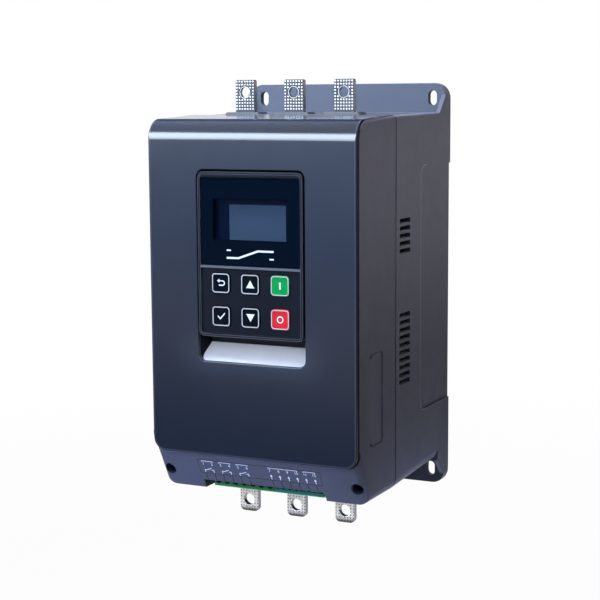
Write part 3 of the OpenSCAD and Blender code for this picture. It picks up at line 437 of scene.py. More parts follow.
@dataclass(frozen=True)
class CoverPlastic(MouldedPlastic):
    """Plastic of the front cover: polished on the raised face and its wrap over the top, matte elsewhere.

    Painted shade darkens the tub behind the keypad window; painted shadow runs round the raised face's foot.
    """

    face_colour: str = "1d2330"
    face_roughness: float = 0.195
    face_specular: float = 0.4
    face_grain: float = 0.05
    haze_mm: float = 9.0
    haze_spread: float = 0.003
    face_low: float = -76.8
    face_high: float = 200.0
    face_corner: float = 7.0
    face_half: float = 57.3
    # Painted highlight just inside the raised face's edge, and painted shadow round its foot
    face_rim: Line = Line(-0.9, 0.25, 0.3, "3b4252")
    face_foot: Line = Line(0.2, 0.42, 0.25, "0b0d12")
    foot_fade: Point = (2.5, 1.5)
    cheek_front: float = 122.4
    cheek_top: float = 94.3
    cheek_slope: float = 0.0526
    cheek_r: float = 9.85
    step: Point = (0.25, 0.35)
    seam: Line = Line(76.8, 0.4, 0.2, "0b0d12")
    # Painted shade on the walls of the tub behind the keypad window
    tub_colour: str = "0d0f14"
    tub_middle: Point = (0.0, 20.2)
    tub_half: Point = (29.9, 48.4)
    tub_corner: float = 3.9
    tub_edge: Point = (0.1, 0.4)
    tub_fade: Point = (1.5, 0.5)

    def tub_mask(self, graph: Graph) -> Socket:
        """Finds the walls of the tub, which get painted shade.

        Args:
            graph: Material that the mask is for.

        Returns:
            A mask that is 1 on the walls.
        """
        across, depth, up = graph.place()
        away = graph.outside(across, up, self.tub_middle, self.tub_half, self.tub_corner)
        start, end = (self.cheek_front - fade for fade in self.tub_fade)
        return graph.both(graph.ramp(away, *self.tub_edge, 1.0, 0.0), graph.ramp(depth, start, end, 1.0, 0.0))

    def face_mask(self, graph: Graph) -> Socket:
        """Finds the raised face, which stands out of the rounded side view of the cheeks.

        Args:
            graph: Material that the mask is for.

        Returns:
            A mask that is 1 on the face.
        """
        across, depth, up = graph.place()
        fall = graph.math("MULTIPLY", graph.math("SUBTRACT", depth, self.seam.place), self.cheek_slope)
        level = graph.math("ADD", up, fall)
        ahead = graph.math("MAXIMUM", graph.math("SUBTRACT", depth, self.cheek_front - self.cheek_r), 0.0)
        above = graph.math("MAXIMUM", graph.math("SUBTRACT", level, self.cheek_top - self.cheek_r), 0.0)
        out = graph.math("SUBTRACT", graph.length(ahead, above), self.cheek_r)
        return graph.both(graph.ramp(out, *self.step), graph.inside(across, 0.0, self.face_half))

    def colours(self, graph: Graph) -> tuple[Socket, Socket]:
        """Makes the two colours with their painted shade, painted shadow, painted highlight and seam.

        Args:
            graph: Material that they are for.

        Returns:
            The colour of the matte plastic and that of the polished face.
        """
        middle = (0.0, (self.face_low + self.face_high) / 2)
        half = (self.face_half, (self.face_high - self.face_low) / 2)
        across, depth, up = graph.place()
        away = graph.outside(across, up, middle, half, self.face_corner)
        # Painted shadow round the foot of the raised face
        front = graph.ramp(depth, *(self.cheek_front - fade for fade in self.foot_fade))
        foot = graph.both(self.face_foot.mask(graph, away), front)
        matte = graph.blend(self.tub_mask(graph), self.varied(graph, self.colour), linear(self.tub_colour))
        matte = graph.blend(foot, matte, linear(self.face_foot.colour))
        matte = graph.blend(self.seam.mask(graph, depth), matte, linear(self.seam.colour))
        # Painted highlight just inside the edge of the raised face
        rim = self.face_rim.mask(graph, away)
        polished = graph.blend(rim, self.varied(graph, self.face_colour), linear(self.face_rim.colour))
        return matte, polished

    def detail(self, graph: Graph) -> None:
        """Adds the polished face over the matte plastic.

        Args:
            graph: Material that it is added to.
        """
        face = self.face_mask(graph)
        rest = graph.math("SUBTRACT", 1.0, face)
        matte, polished = self.colours(graph)
        haze = graph.vary(self.haze_mm, 4.0, self.face_roughness, self.haze_spread)
        rough = graph.math("ADD", graph.both(haze, face), graph.both(self.sheen(graph), rest))
        gloss = graph.ramp(face, 0.0, 1.0, self.specular, self.face_specular)
        graph.set(base_color=graph.blend(face, matte, polished), roughness=rough, specular_ior_level=gloss)
        coarse = graph.ramp(rest, 0.0, 1.0, self.face_grain, 1.0)
        graph.bump(graph.both(self.grain(graph), coarse), self.grain_depth)


@dataclass(frozen=True)
class BezelPlastic(MouldedPlastic):
    """Plastic of the keypad's frame, with a painted highlight on its rim, its two edges and the bar under the
    lens.
    """

    middle: Point = (0.0, 26.25)
    half: Point = (28.9, 41.35)
    corner: float = 3.0
    # Painted highlights: the lighter rim, the lines on its two edges and the bar under the lens
    rim_colour: str = "1b1e26"
    rim_edge: Point = (-1.35, -1.15)
    outer_line: Line = Line(-0.15, 0.14, 0.15, "4a4c52")
    inner_line: Line = Line(-1.1875, 0.14, 0.15, "4a4c52")
    bar: Line = Line(20.2, 0.6, 0.15, "686b72")

    def detail(self, graph: Graph) -> None:
        """Adds the painted highlights of the rim, its lines and the bar to the grain.

        Args:
            graph: Material that they are added to.
        """
        super().detail(graph)
        across, _, up = graph.place()
        away = graph.outside(across, up, self.middle, self.half, self.corner)
        # Painted highlights on the bar, the rim and the rim's edges
        colour = self.varied(graph, self.colour)
        colour = graph.blend(self.bar.mask(graph, up), colour, linear(self.bar.colour))
        colour = graph.blend(graph.ramp(away, *self.rim_edge), colour, linear(self.rim_colour))
        for line in (self.outer_line, self.inner_line):
            colour = graph.blend(line.mask(graph, away), colour, linear(line.colour))
        graph.set(base_color=colour)


class Working(Enum):
    """How a metal surface was worked: the stretch of its marks along each axis."""

    ROLLED = (4.0, 4.0, 0.3)
    TURNED = (3.0, 1.0, 3.0)
    DRAWN = (6.0, 6.0, 0.15)


@dataclass(frozen=True)
class Metal(Finish):
    """Bare or plated metal with the marks of its working."""

    working: Working = Working.ROLLED
    marks_mm: float = 0.8
    marks_depth: float = 0.01
    marks_band: Point = (0.2, 0.8)
    smoother: float = 0.08
    rougher: float = 0.1

    def work(self, graph: Graph) -> Socket:
        """Makes the shader metallic and unevenly rough.

        Args:
            graph: Material of the metal.

        Returns:
            The height of the marks.
        """
        marks = graph.noise(self.marks_mm, 4.0, self.working.value)
        ends = (self.roughness - self.smoother, self.roughness + self.rougher)
        graph.set(metallic=1.0, roughness=graph.ramp(marks, *self.marks_band, *ends))
        return marks

    def detail(self, graph: Graph) -> None:
        """Adds the marks."""
        graph.bump(self.work(graph), self.marks_depth)


class BarEnd(Enum):
    """How the flat end of a bar is marked."""

    PITTED = "pressed with rows of pits"
    # The ground between the raised pads is painted darker than the tin
    STAINED = "stained dark between raised pads"


@dataclass(frozen=True)
class TinnedBar(Metal):
    """Tinned bar with painted shade on its edges and towards its tip, whose flat end is marked from a height
    on.
    """

    end: BarEnd = BarEnd.PITTED
    from_z: float = -97.9
    from_soft: float = 0.2
    mark_colour: str = "46474c"
    mark_depth: float = 0.2
    marks_share: float = 0.06
    bar_spacing: float = 28.3
    pits_per_spacing: int = 17
    pit_r: float = 0.38
    pit_floor: float = 0.7
    # Painted shade on the bar's edges and, darkening towards it, on its tip
    edge_colour: str = "84868c"
    flat_band: Point = (0.7, 0.9)
    tip_z: float = -119.3
    tip_fade: float = 3.6
    tip_colour: str = "3c3d41"

    def mark(self, graph: Graph) -> Socket:
        """Finds the pits below a height, or the darker ground above it, which is on the front alone.

        Args:
            graph: Material that the mask is for.

        Returns:
            A mask that is 1 in a pit or on the darker ground.
        """
        across, _, up = graph.place()
        if self.end is BarEnd.STAINED:
            near, far = self.flat_band
            front = graph.ramp(graph.facing()[1], -far, -near, 1.0, 0.0)
            return graph.both(front, graph.ramp(up, self.from_z, self.from_z + self.from_soft))
        half_pitch = self.bar_spacing / self.pits_per_spacing / 2
        column, row = (graph.math("PINGPONG", value, half_pitch) for value in (across, up))
        pit = graph.ramp(graph.length(column, row), self.pit_r * self.pit_floor, self.pit_r, 1.0, 0.0)
        return graph.both(pit, graph.ramp(up, self.from_z - self.from_soft, self.from_z, 1.0, 0.0))

    def detail(self, graph: Graph) -> None:
        """Adds the marks of the end and the painted shade on the edges and towards the tip.

        Args:
            graph: Material that they are added to.
        """
        up = graph.place()[2]
        flat = graph.ramp(graph.math("ABSOLUTE", graph.facing()[1]), *self.flat_band)
        mark = graph.both(self.mark(graph), flat)
        # Painted shade: darker towards the tip and on the edges
        clear = graph.ramp(up, self.tip_z, self.tip_z + self.tip_fade)
        tin = graph.blend(clear, linear(self.tip_colour), self.varied(graph, self.colour))
        tin = graph.blend(flat, linear(self.edge_colour), tin)
        graph.set(base_color=graph.blend(mark, tin, linear(self.mark_colour)))
        relief = graph.math("MULTIPLY", self.work(graph), self.marks_share)
        graph.bump(graph.math("SUBTRACT", relief, mark), self.mark_depth)


@dataclass(frozen=True)
class Laminate(Finish):
    """Circuit board with lighter tracks under its solder resist."""

    track_colour: str = "2f7a4a"
    track_mm: float = 2.2
    track_run: Place = (1.0, 1.0, 0.15)
    track_edge: Point = (0.49, 0.52)
    track_depth: float = 0.03

    def detail(self, graph: Graph) -> None:
        """Adds the tracks as runs of a stretched noise.

        Args:
            graph: Material that they are added to.
        """
        runs = graph.ramp(graph.noise(self.track_mm, 0.0, self.track_run), *self.track_edge)
        graph.set(base_color=graph.blend(runs, linear(self.colour), linear(self.track_colour)))
        graph.bump(runs, self.track_depth)


@dataclass(frozen=True)
class LensGlass(Finish):
    """Clear lens printed black behind, apart from its display window."""

    window_middle: Point = (0.0, 44.0)
    window_half: Point = (20.7, 10.3)
    clear: float = 0.16
    specular: float = 0.05

    def detail(self, graph: Graph) -> None:
        """Opens the window in the black print and keeps the gloss over all of it.

        Args:
            graph: Material of the lens.
        """
        window = graph.window(self.window_middle, self.window_half)
        opening = graph.math("MULTIPLY", window, 1.0 - self.clear)
        graph.set(alpha=graph.math("SUBTRACT", 1.0, opening), specular_ior_level=self.specular)


@dataclass(frozen=True)
class DisplayGlass(Finish):
    """Unlit display: a pale active area with faint dots in a dark frame."""

    frame_colour: str = "061a38"
    area_middle: Point = (2.6, 42.4)
    area_half: Point = (15.65, 8.85)
    dot_mm: float = 0.24
    dot_shade: float = 0.9
    specular: float = 0.03

    def detail(self, graph: Graph) -> None:
        """Separates the active area from the frame.

        Args:
            graph: Material of the display.
        """
        across, _, up = graph.place()
        column, row = (graph.math("PINGPONG", value, self.dot_mm) for value in (across, up))
        dots = graph.ramp(graph.math("MINIMUM", column, row), 0.0, self.dot_mm / 4, self.dot_shade, 1.0)
        pale = graph.blend(dots, linear("000000"), linear(self.colour))
        area = graph.window(self.area_middle, self.area_half)
        colour = graph.blend(area, linear(self.frame_colour), pale)
        graph.set(base_color=colour, specular_ior_level=self.specular)


@dataclass(frozen=True)
class Ink(Finish):
    """Screen-printed ink with an uneven film."""

    film_mm: float = 0.25
    film_depth: float = 0.006
    smoother: float = 0.05
    rougher: float = 0.1

    def detail(self, graph: Graph) -> None:
        """Adds the film.

        Args:
            graph: Material that it is added to.
        """
        film = graph.noise(self.film_mm, 3.0)
        ends = (self.roughness - self.smoother, self.roughness + self.rougher)
        graph.set(roughness=graph.ramp(film, *NOISE_BAND, *ends))
        graph.bump(film, self.film_depth)


class Palette:
    """The finishes of the record's material slots, the inks and a few special finishes."""

    finishes: tuple[Finish, ...] = (
        BasePlastic("base_plastic", "525560", 0.5, mottle=0.03, specular=0.05),
        CoverPlastic("cover_plastic", "4f515d", 0.5, mottle=0.03, specular=0.05),
        MouldedPlastic("scoop_grey", "b6b4bc", 0.5, mottle=0.02, specular=0.05),
        MouldedPlastic("strip_plastic", "2c2f38", 0.4, specular=0.3),
        Metal("bar_tin", "7a7a7a", 0.35),
        TinnedBar("upper_bar_tin", "787878", 0.35, end=BarEnd.STAINED, from_z=96.0, mark_colour="26272b"),
        TinnedBar("lower_bar_tin", "ece8e6", 0.3),
        Metal("screw_steel", "8f9298", 0.35, working=Working.TURNED),
        # Steel painted dark as the shade deep in the plug bores
        Metal("dark_screw_steel", "222327", 0.5, working=Working.TURNED),
        Metal("sink_aluminium", "a9acb0", 0.4, working=Working.DRAWN),
        Metal("post_brass", "b89a55", 0.3, working=Working.TURNED),
        Metal("pin_tin", "c9c9cc", 0.3),
        MouldedPlastic("module_resin", "2a2b2e", 0.5),
        MouldedPlastic("relay_black", "1f2023", 0.4),
        MouldedPlastic("relay_blue", "2b4fa0", 0.4),
        MouldedPlastic("sensor_resin", "2c3d63", 0.35),
        Laminate("board_laminate", "17482d", 0.35),
        MouldedPlastic("winding_tape", "c9a227", 0.45),
        MouldedPlastic("core_ferrite", "4a4c50", 0.6),
        MouldedPlastic("capacitor_sleeve", "202630", 0.3),
        MouldedPlastic("chip_resin", "18191b", 0.55),
        MouldedPlastic("socket_plastic", "1c1d20", 0.45),
        MouldedPlastic("switch_plastic", "2c2d31", 0.5),
        MouldedPlastic("terminal_green", "258a45", 0.42, specular=0.2),
        MouldedPlastic("terminal_teal", "1c8a72", 0.42, specular=0.2),
        BezelPlastic("bezel_plastic", "151821", 0.4, grain_depth=0.006, specular=0.03),
        LensGlass("lens_glass", "060f1b", 0.06, mottle=0.0),
        DisplayGlass("display_glass", "586b83", 0.25),
        MouldedPlastic("key_black", "0a0d13", 0.25, grain_depth=0.004, specular=0.03),
        MouldedPlastic("key_green", "02a048", 0.3, grain_depth=0.004, specular=0.05),
        MouldedPlastic("key_red", "ec272b", 0.3, grain_depth=0.004, specular=0.08),
        Ink("white_ink", "e8ebf2", 0.5, mottle=0.03),
        Ink("ring_ink", "b6b6ba", 0.5, mottle=0.03),
        Ink("dark_ink", "05060a", 0.7, mottle=0.03),
    )

    def __init__(self) -> None:
        """Starts with no material made."""
        self.known = {finish.name: finish for finish in self.finishes}
        self.made: dict[str, bpy.types.Material] = {}

    def get(self, name: str) -> bpy.types.Material:
        """Looks up a finish.

        Args:
            name: Name of the finish.

        Returns:
            Its material, made on first use.
        """
        if name not in self.made:
            self.made[name] = self.known[name].make()
        return self.made[name]


@dataclass(frozen=True)
class EdgeSoftener:
    """Rounds the sharp edges of a solid by modifiers, leaving its own mesh as it is."""

    width: float
    segments: int = 2
    from_angle: float = 33.0
    flat_angle: float = 1.6
    weld_gap: float = 0.001
    clamp: bool = False

    @staticmethod
    def smoother(angle: float) -> bpy.types.NodeTree:
        """Finds or makes the node group that shades smooth across flat edges.

        Args:
            angle: Largest angle of an edge that is shaded smooth, in degrees.

        Returns:
            The node group.
        """
        name = f"smooth_{angle:g}"
        found = bpy.data.node_groups.get(name)
        if found:
            return found
        tree = bpy.data.node_groups.new(name, "GeometryNodeTree")
        for way in ("INPUT", "OUTPUT"):
            tree.interface.new_socket("Geometry", in_out=way, socket_type="NodeSocketGeometry")
        start = tree.nodes.new("NodeGroupInput")
        end = tree.nodes.new("NodeGroupOutput")
        bend = tree.nodes.new("GeometryNodeInputMeshEdgeAngle")
        flat = tree.nodes.new("FunctionNodeCompare")
        flat.operation = "LESS_EQUAL"
        flat.inputs[1].default_value = math.radians(angle)
        faces = tree.nodes.new("GeometryNodeSetShadeSmooth")
        edges = tree.nodes.new("GeometryNodeSetShadeSmooth")
        edges.domain = "EDGE"
        tree.links.new(start.outputs[0], faces.inputs["Geometry"])
        tree.links.new(faces.outputs["Geometry"], edges.inputs["Geometry"])
        tree.links.new(bend.outputs["Unsigned Angle"], flat.inputs[0])
        tree.links.new(flat.outputs[0], edges.inputs["Shade Smooth"])
        tree.links.new(edges.outputs["Geometry"], end.inputs[0])
        return tree

    def apply(self, piece: bpy.types.Object) -> None:
        """Adds the modifiers to a piece.

        Args:
            piece: A solid of the frame.
        """
        weld = piece.modifiers.new("weld", "WELD")
        weld.merge_threshold = self.weld_gap * MM
        merge = piece.modifiers.new("flats", "DECIMATE")
        merge.decimate_type = "DISSOLVE"
        merge.angle_limit = math.radians(self.flat_angle)
        bevel = piece.modifiers.new("edges", "BEVEL")
        bevel.width = self.width * MM
        bevel.segments = self.segments
        bevel.limit_method = "ANGLE"
        bevel.angle_limit = math.radians(self.from_angle)
        bevel.use_clamp_overlap = self.clamp
        bevel.harden_normals = True
        smooth = piece.modifiers.new("smooth", "NODES")
        smooth.node_group = self.smoother(self.from_angle)
        normals = piece.modifiers.new("normals", "WEIGHTED_NORMAL")
        normals.keep_sharp = True


@dataclass
class Solids:
    """The solids of the frame: their finishes and softened edges, by node or by a row of numbered nodes."""

    frame: dict[str, Any]
    palette: Palette
    plain_edges: EdgeSoftener = EdgeSoftener(0.2)
    soft_edges: dict[str, EdgeSoftener] = field(
        default_factory=lambda: {
            "front_cover": EdgeSoftener(0.5, segments=3),
            "base_housing": EdgeSoftener(0.4, clamp=True),
            "keypad_bezel": EdgeSoftener(0.45, segments=3, clamp=True),
            "load_bar": EdgeSoftener(0.7, segments=3, clamp=True),
        }
    )
    special_finishes: dict[str, str] = field(
        default_factory=lambda: {
            "line_bar": "upper_bar_tin",
            "load_bar": "lower_bar_tin",
            # The plug screws sit deep in their bores and get steel painted dark as that shade
            "coarse_plug_screws": "dark_screw_steel",
            "fine_plug_screws": "dark_screw_steel",
        }
    )

    @staticmethod
    def paint(piece: bpy.types.Object, material: bpy.types.Material) -> None:
        """Gives a solid a material.

        Args:
            piece: The solid.
            material: Its material.
        """
        if not piece.material_slots:
            piece.data.materials.append(material)
        for place in piece.material_slots:
            place.material = material

    def dress(self) -> None:
        """Gives each node its finish and soft edges."""
        for part in self.frame["record"]["subparts"]:
            node = part["node"]
            row = node.rstrip("_0123456789")
            finish = self.special_finishes.get(row, part["material_slot"])
            piece = self.frame["nodes"][node]
            self.paint(piece, self.palette.get(finish))
            self.soft_edges.get(row, self.plain_edges).apply(piece)
            LOG.info("dressed %s in %s", node, finish)


def new_object(name: str, mesh: bmesh.types.BMesh, material: bpy.types.Material) -> bpy.types.Object:
    """Turns a mesh under construction into an object of the scene.

    Args:
        name: Name of the object.
        mesh: Its mesh, which is freed.
        material: Its material.

    Returns:
        The object.
    """
    data = bpy.data.meshes.new(name)
    mesh.to_mesh(data)
    mesh.free()
    data.materials.append(material)
    made = bpy.data.objects.new(name, data)
    bpy.context.scene.collection.objects.link(made)
    return made


def new_piece(name: str, mesh: bmesh.types.BMesh, body: str, material: bpy.types.Material) -> None:
    """Turns a mesh under construction into a piece that rides on a body.

    Args:
        name: Name of the piece.
        mesh: Its mesh, which is freed.
        body: Body of the frame that it rides on.
        material: Its material.
    """
    if all(edge.is_manifold for edge in mesh.edges):
        bmesh.ops.recalc_face_normals(mesh, faces=mesh.faces[:])
    made = new_object(name, mesh, material)
    LOG.info("made %s with %d faces on %s", name, len(made.data.polygons), body)
    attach(made, body)


def arc(centre: Point, radius: float, start: float, end: float, steps: int = 6) -> list[Point]:
    """Lists the points of an arc.

    Args:
        centre: Its centre.
        radius: Its radius.
        start: Angle of its first point in degrees.
        end: Angle of its last point in degrees.
        steps: Number of chords.

    Returns:
        The points in order.
    """
    angles = [math.radians(start + (end - start) * i / steps) for i in range(steps + 1)]
    return [(centre[0] + radius * math.cos(a), centre[1] + radius * math.sin(a)) for a in angles]


def rounded_square(middle: Point, size: float, radius: float) -> list[Point]:
    """Lists the outline of a square with rounded corners.

    Args:
        middle: Its middle.
        size: Its side.
        radius: Radius of its corners.

    Returns:
        The points, anticlockwise.
    """
    inner = size / 2 - radius
    corners = ((inner, inner, 0), (-inner, inner, 90), (-inner, -inner, 180), (inner, -inner, 270))
    points: list[Point] = []
    for x, y, turn in corners:
        points += arc((middle[0] + x, middle[1] + y), radius, turn, turn + 90)
    return points


@dataclass(frozen=True)
class DrawingPlane:
    """A plane of the object that print lies on, a little lifted off it."""

    origin: Vector
    up: Vector
    across: Vector = Vector((1, 0, 0)).freeze()
    lift: float = 0.02

    def at(self, point: Point) -> Vector:
        """Returns the place, in metres, of a point drawn on the plane."""
        out = self.across.cross(self.up)
        return (self.origin + self.across * point[0] + self.up * point[1] + out * self.lift) * MM

    @classmethod
    def upright(cls, depth: float) -> "DrawingPlane":
        """Returns the front-facing plane at a depth from the wall."""
        return cls(Vector((0, -depth, 0)), Vector((0, 0, 1)))


class Print:
    """Collects flat strokes and fills and turns them into one printed piece."""

    em_per_numeral: float = 1.4
    numeral_steps: int = 3
    sharpest_mitre: float = 0.4

    def __init__(self, plane: DrawingPlane) -> None:
        """Starts an empty print on a plane."""
        self.plane = plane
        self.mesh = bmesh.new()

    def fill(self, points: Iterable[Point]) -> None:
        """Adds a filled outline, listed anticlockwise."""
        self.mesh.faces.new([self.mesh.verts.new(self.plane.at(p)) for p in points])

    def stroke(self, points: Sequence[Point], width: float, closed: bool = False) -> None:
        """Adds a line of even width with mitred corners.

        Args:
            points: Corners of the line.
            width: Width of the line.
            closed: Whether the last corner joins the first.
        """
        line = [Vector(p) for p in points]
        count = len(line)
        sides: list[tuple[Point, Point]] = []
        for i, corner in enumerate(line):
            before = line[i - 1] if closed or i > 0 else corner
            after = line[(i + 1) % count] if closed or i < count - 1 else corner
            runs = [run for run in (corner - before, after - corner) if run.length > 0]
            ahead = [run.normalized() for run in runs]
            mean = sum(ahead, Vector((0, 0))).normalized()
            reach = width / 2 / max(self.sharpest_mitre, mean.dot(ahead[0]))
            side = Vector((-mean.y, mean.x)) * reach
            sides.append((tuple(corner + side), tuple(corner - side)))
        last = count if closed else count - 1
        for i in range(last):
            here, there = sides[i], sides[(i + 1) % count]
            self.fill([here[1], there[1], there[0], here[0]])

    def numerals(self, text: str, middle: Point, height: float) -> None:
        """Adds plain numerals centred on a point.

        Args:
            text: The numerals.
            middle: Middle of the numerals.
            height: Their height.
        """
        curve = bpy.data.curves.new("numerals", "FONT")
        curve.body = text
        curve.align_x = "CENTER"
        curve.align_y = "CENTER"
        curve.size = height * self.em_per_numeral
        curve.resolution_u = self.numeral_steps
        holder = bpy.data.objects.new("numerals", curve)
        bpy.context.scene.collection.objects.link(holder)
        bpy.context.view_layer.update()
        outline = holder.evaluated_get(bpy.context.evaluated_depsgraph_get()).to_mesh()
        for polygon in outline.polygons:
            corners = [outline.vertices[i].co for i in polygon.vertices]
            self.fill([(middle[0] + c.x, middle[1] + c.y) for c in corners])
        bpy.data.objects.remove(holder)
        bpy.data.curves.remove(curve)

    def piece(self, name: str, body: str, material: bpy.types.Material) -> None:
        """Makes the printed piece, which rides on a body of the frame."""
        new_piece(name, self.mesh, body, material)


@dataclass
class BarPads:
    """Raised square pads that are rolled into the front of the line bars above the housing."""

    palette: Palette
    columns: int = 7
    margin: float = 0.25
    foot: float = 1.12
    top: float = 0.72
    height: float = 0.28
    sunk: float = 0.02
    lowest: float = 96.2
    first_row: float = 0.55
    hole_inset: float = 6.5
    hole_r: float = 2.75
    rim: float = 0.4
    rim_height: float = 0.2
    rim_slope: float = 0.1
    rim_room: float = 0.3
    rim_steps: int = 32

    def build(self, number: int) -> None:
        """Builds the pads of one bar.

        Args:
            number: Number of the bar, from the left.
        """
        low, high = (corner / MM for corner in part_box(f"line_bar_{number}"))
        middle = (low.x + high.x) / 2
        hole = Vector((middle, high.z - self.hole_inset))
        pitch = (high.x - low.x - self.foot - 2 * self.margin) / (self.columns - 1)
        rows = int((high.z - self.lowest) / pitch)
        mesh = bmesh.new()
        for row in range(rows):
            for column in range(self.columns):
                x = middle + (column - (self.columns - 1) / 2) * pitch
                z = high.z - (row + self.first_row) * pitch
                if (Vector((x, z)) - hole).length > self.hole_r + self.rim + self.rim_room:
                    self.pad(mesh, x, -low.y, z)
        self.burr(mesh, hole, -low.y)
        new_piece(f"line_bar_{number}_pads", mesh, "housing", self.palette.get("bar_tin"))

    def burr(self, mesh: bmesh.types.BMesh, hole: Vector, depth: float) -> None:
        """Adds the raised rim that punching leaves round the hole.

        Args:
            mesh: Mesh that it is added to.
            hole: Middle of the hole.
            depth: Depth of the surface that it stands on.
        """
        top_in, top_out = self.rim_slope, self.rim - self.rim_slope
        section = (
            (0.0, -self.sunk), (top_in, self.rim_height), (top_out, self.rim_height), (self.rim, -self.sunk)
        )
        rings = []
        for away, out in section:
            points = arc((hole.x, hole.y), self.hole_r + away, 0, 360, self.rim_steps)[:-1]
            rings.append([mesh.verts.new(Vector((x, -depth - out, z)) * MM) for x, z in points])
        for ring, following in zip(rings, rings[1:] + rings[:1]):
            for i in range(self.rim_steps):
                j = (i + 1) % self.rim_steps
                mesh.faces.new([ring[i], ring[j], following[j], following[i]])

    def pad(self, mesh: bmesh.types.BMesh, x: float, depth: float, z: float) -> None:
        """Adds one pad.

        Args:
            mesh: Mesh that it is added to.
            x: Its place across.
            depth: Depth of the surface that it stands on.
            z: Its height.
        """
        signs = ((-1, -1), (1, -1), (1, 1), (-1, 1))
        rings = []
        for size, out in ((self.foot, -self.sunk), (self.top, self.height)):
            corners = [Vector((x + sx * size / 2, -depth - out, z + sz * size / 2)) * MM for sx, sz in signs]
            rings.append([mesh.verts.new(c) for c in corners])
        for i in range(len(signs)):
            j = (i + 1) % len(signs)
            mesh.faces.new([rings[0][i], rings[0][j], rings[1][j], rings[1][i]])
        mesh.faces.new(rings[1])
        mesh.faces.new(rings[0][::-1])


class Sign(Enum):
    """What is printed on a key."""

    BACK = "back"
    UP = "up"
    RUN = "run"
    SET = "set"
    DOWN = "down"
    STOP = "stop"


@dataclass
class KeypadPrint:
    """Print of the keypad: a pale line round each key, a sign on it, and a ramp on the lens."""

    palette: Palette
    key_size: float = 10.0
    corner_r: float = 1.8
    ring_width: float = 0.5
    ring_inset: float = 0.42
    dish: float = 0.25
    arrow_half: Point = (2.3, 1.9)
    arrow_tip: float = 2.0
    bar_half: Point = (0.45, 1.7)
    circle_r: float = 1.5
    circle_steps: int = 24
    sign_w: float = 0.6
    hook_r: float = 1.1
    hook_w: float = 0.55
    lens_mark_z: float = 26.8
    lens_mark_half: Point = (13.0, 1.9)
    lens_mark_w: float = 0.95
    lens_level: float = 0.18
    lens_level_w: float = 0.7

    def sign(self, sheet: Print, sign: Sign, middle: Point) -> None:
        """Draws a key's sign.

        Args:
            sheet: Print that it is drawn on.
            sign: Which sign.
            middle: Middle of the key.
        """

        def moved(points: Sequence[Point]) -> list[Point]:
            """Returns points drawn about the key's middle."""
            return [(middle[0] + x, middle[1] + z) for x, z in points]

        if sign in (Sign.UP, Sign.DOWN):
            turn = 1 if sign is Sign.UP else -1
            w, h = (turn * half for half in self.arrow_half)
            sheet.fill(moved([(-w, -h), (w, -h), (0, turn * self.arrow_tip)]))
        elif sign is Sign.RUN:
            w, h = self.bar_half
            sheet.fill(moved([(-w, -h), (w, -h), (w, h), (-w, h)]))
        elif sign is Sign.STOP:
            circle = arc((0, 0), self.circle_r, 0, 360, self.circle_steps)[:-1]
            sheet.stroke(moved(circle), self.sign_w, closed=True)
        elif sign is Sign.SET:
            sheet.stroke(moved([(-1.9, 0.1), (-0.6, -1.3), (2.0, 1.6)]), self.sign_w)
        else:
            r = self.hook_r
            sheet.stroke(moved([(-1.2, -r)] + arc((0.9, 0.0), r, -90, 90) + [(-0.8, r)]), self.hook_w)
            sheet.fill(moved([(-2.2, r), (-0.8, r - 1.0), (-0.8, r + 1.0)]))

    def build_key(self, sign: Sign) -> None:
        """Builds the ring and the sign of one key.

        Args:
            sign: The key's sign.
        """
        low, high = (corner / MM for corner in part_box(f"key_{sign.value}"))
        middle = ((low.x + high.x) / 2, (low.z + high.z) / 2)
        body = f"{sign.value}_key"
        ring = Print(DrawingPlane.upright(-low.y))
        path = rounded_square(middle, self.key_size - 2 * self.ring_inset, self.corner_r - self.ring_inset)
        ring.stroke(path, self.ring_width, closed=True)
        ring.piece(f"{sign.value}_key_ring", body, self.palette.get("ring_ink"))
        sheet = Print(DrawingPlane.upright(-low.y - self.dish))
        self.sign(sheet, sign, middle)
        sheet.piece(f"{sign.value}_key_sign", body, self.palette.get("white_ink"))

    def build_lens_mark(self) -> None:
        """Builds the sign on the lens, below the display: a ramp between two levels."""
        front = -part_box("display_lens")[0].y / MM
        sheet = Print(DrawingPlane.upright(front))
        half, rise = self.lens_mark_half
        low, high = self.lens_mark_z - rise, self.lens_mark_z + rise
        sheet.stroke([(-half, low), (-half / 2, low), (half / 3, high), (half, high)], self.lens_mark_w)
        for end, z in ((-half, high), (half, low)):
            sheet.stroke([(end, z), (end * (1 - self.lens_level), z)], self.lens_level_w)
        sheet.piece("lens_ramp_sign", "keypad", self.palette.get("white_ink"))

    def build(self) -> None:
        """Builds all of the keypad's print."""
        for sign in Sign:
            self.build_key(sign)
        self.build_lens_mark()


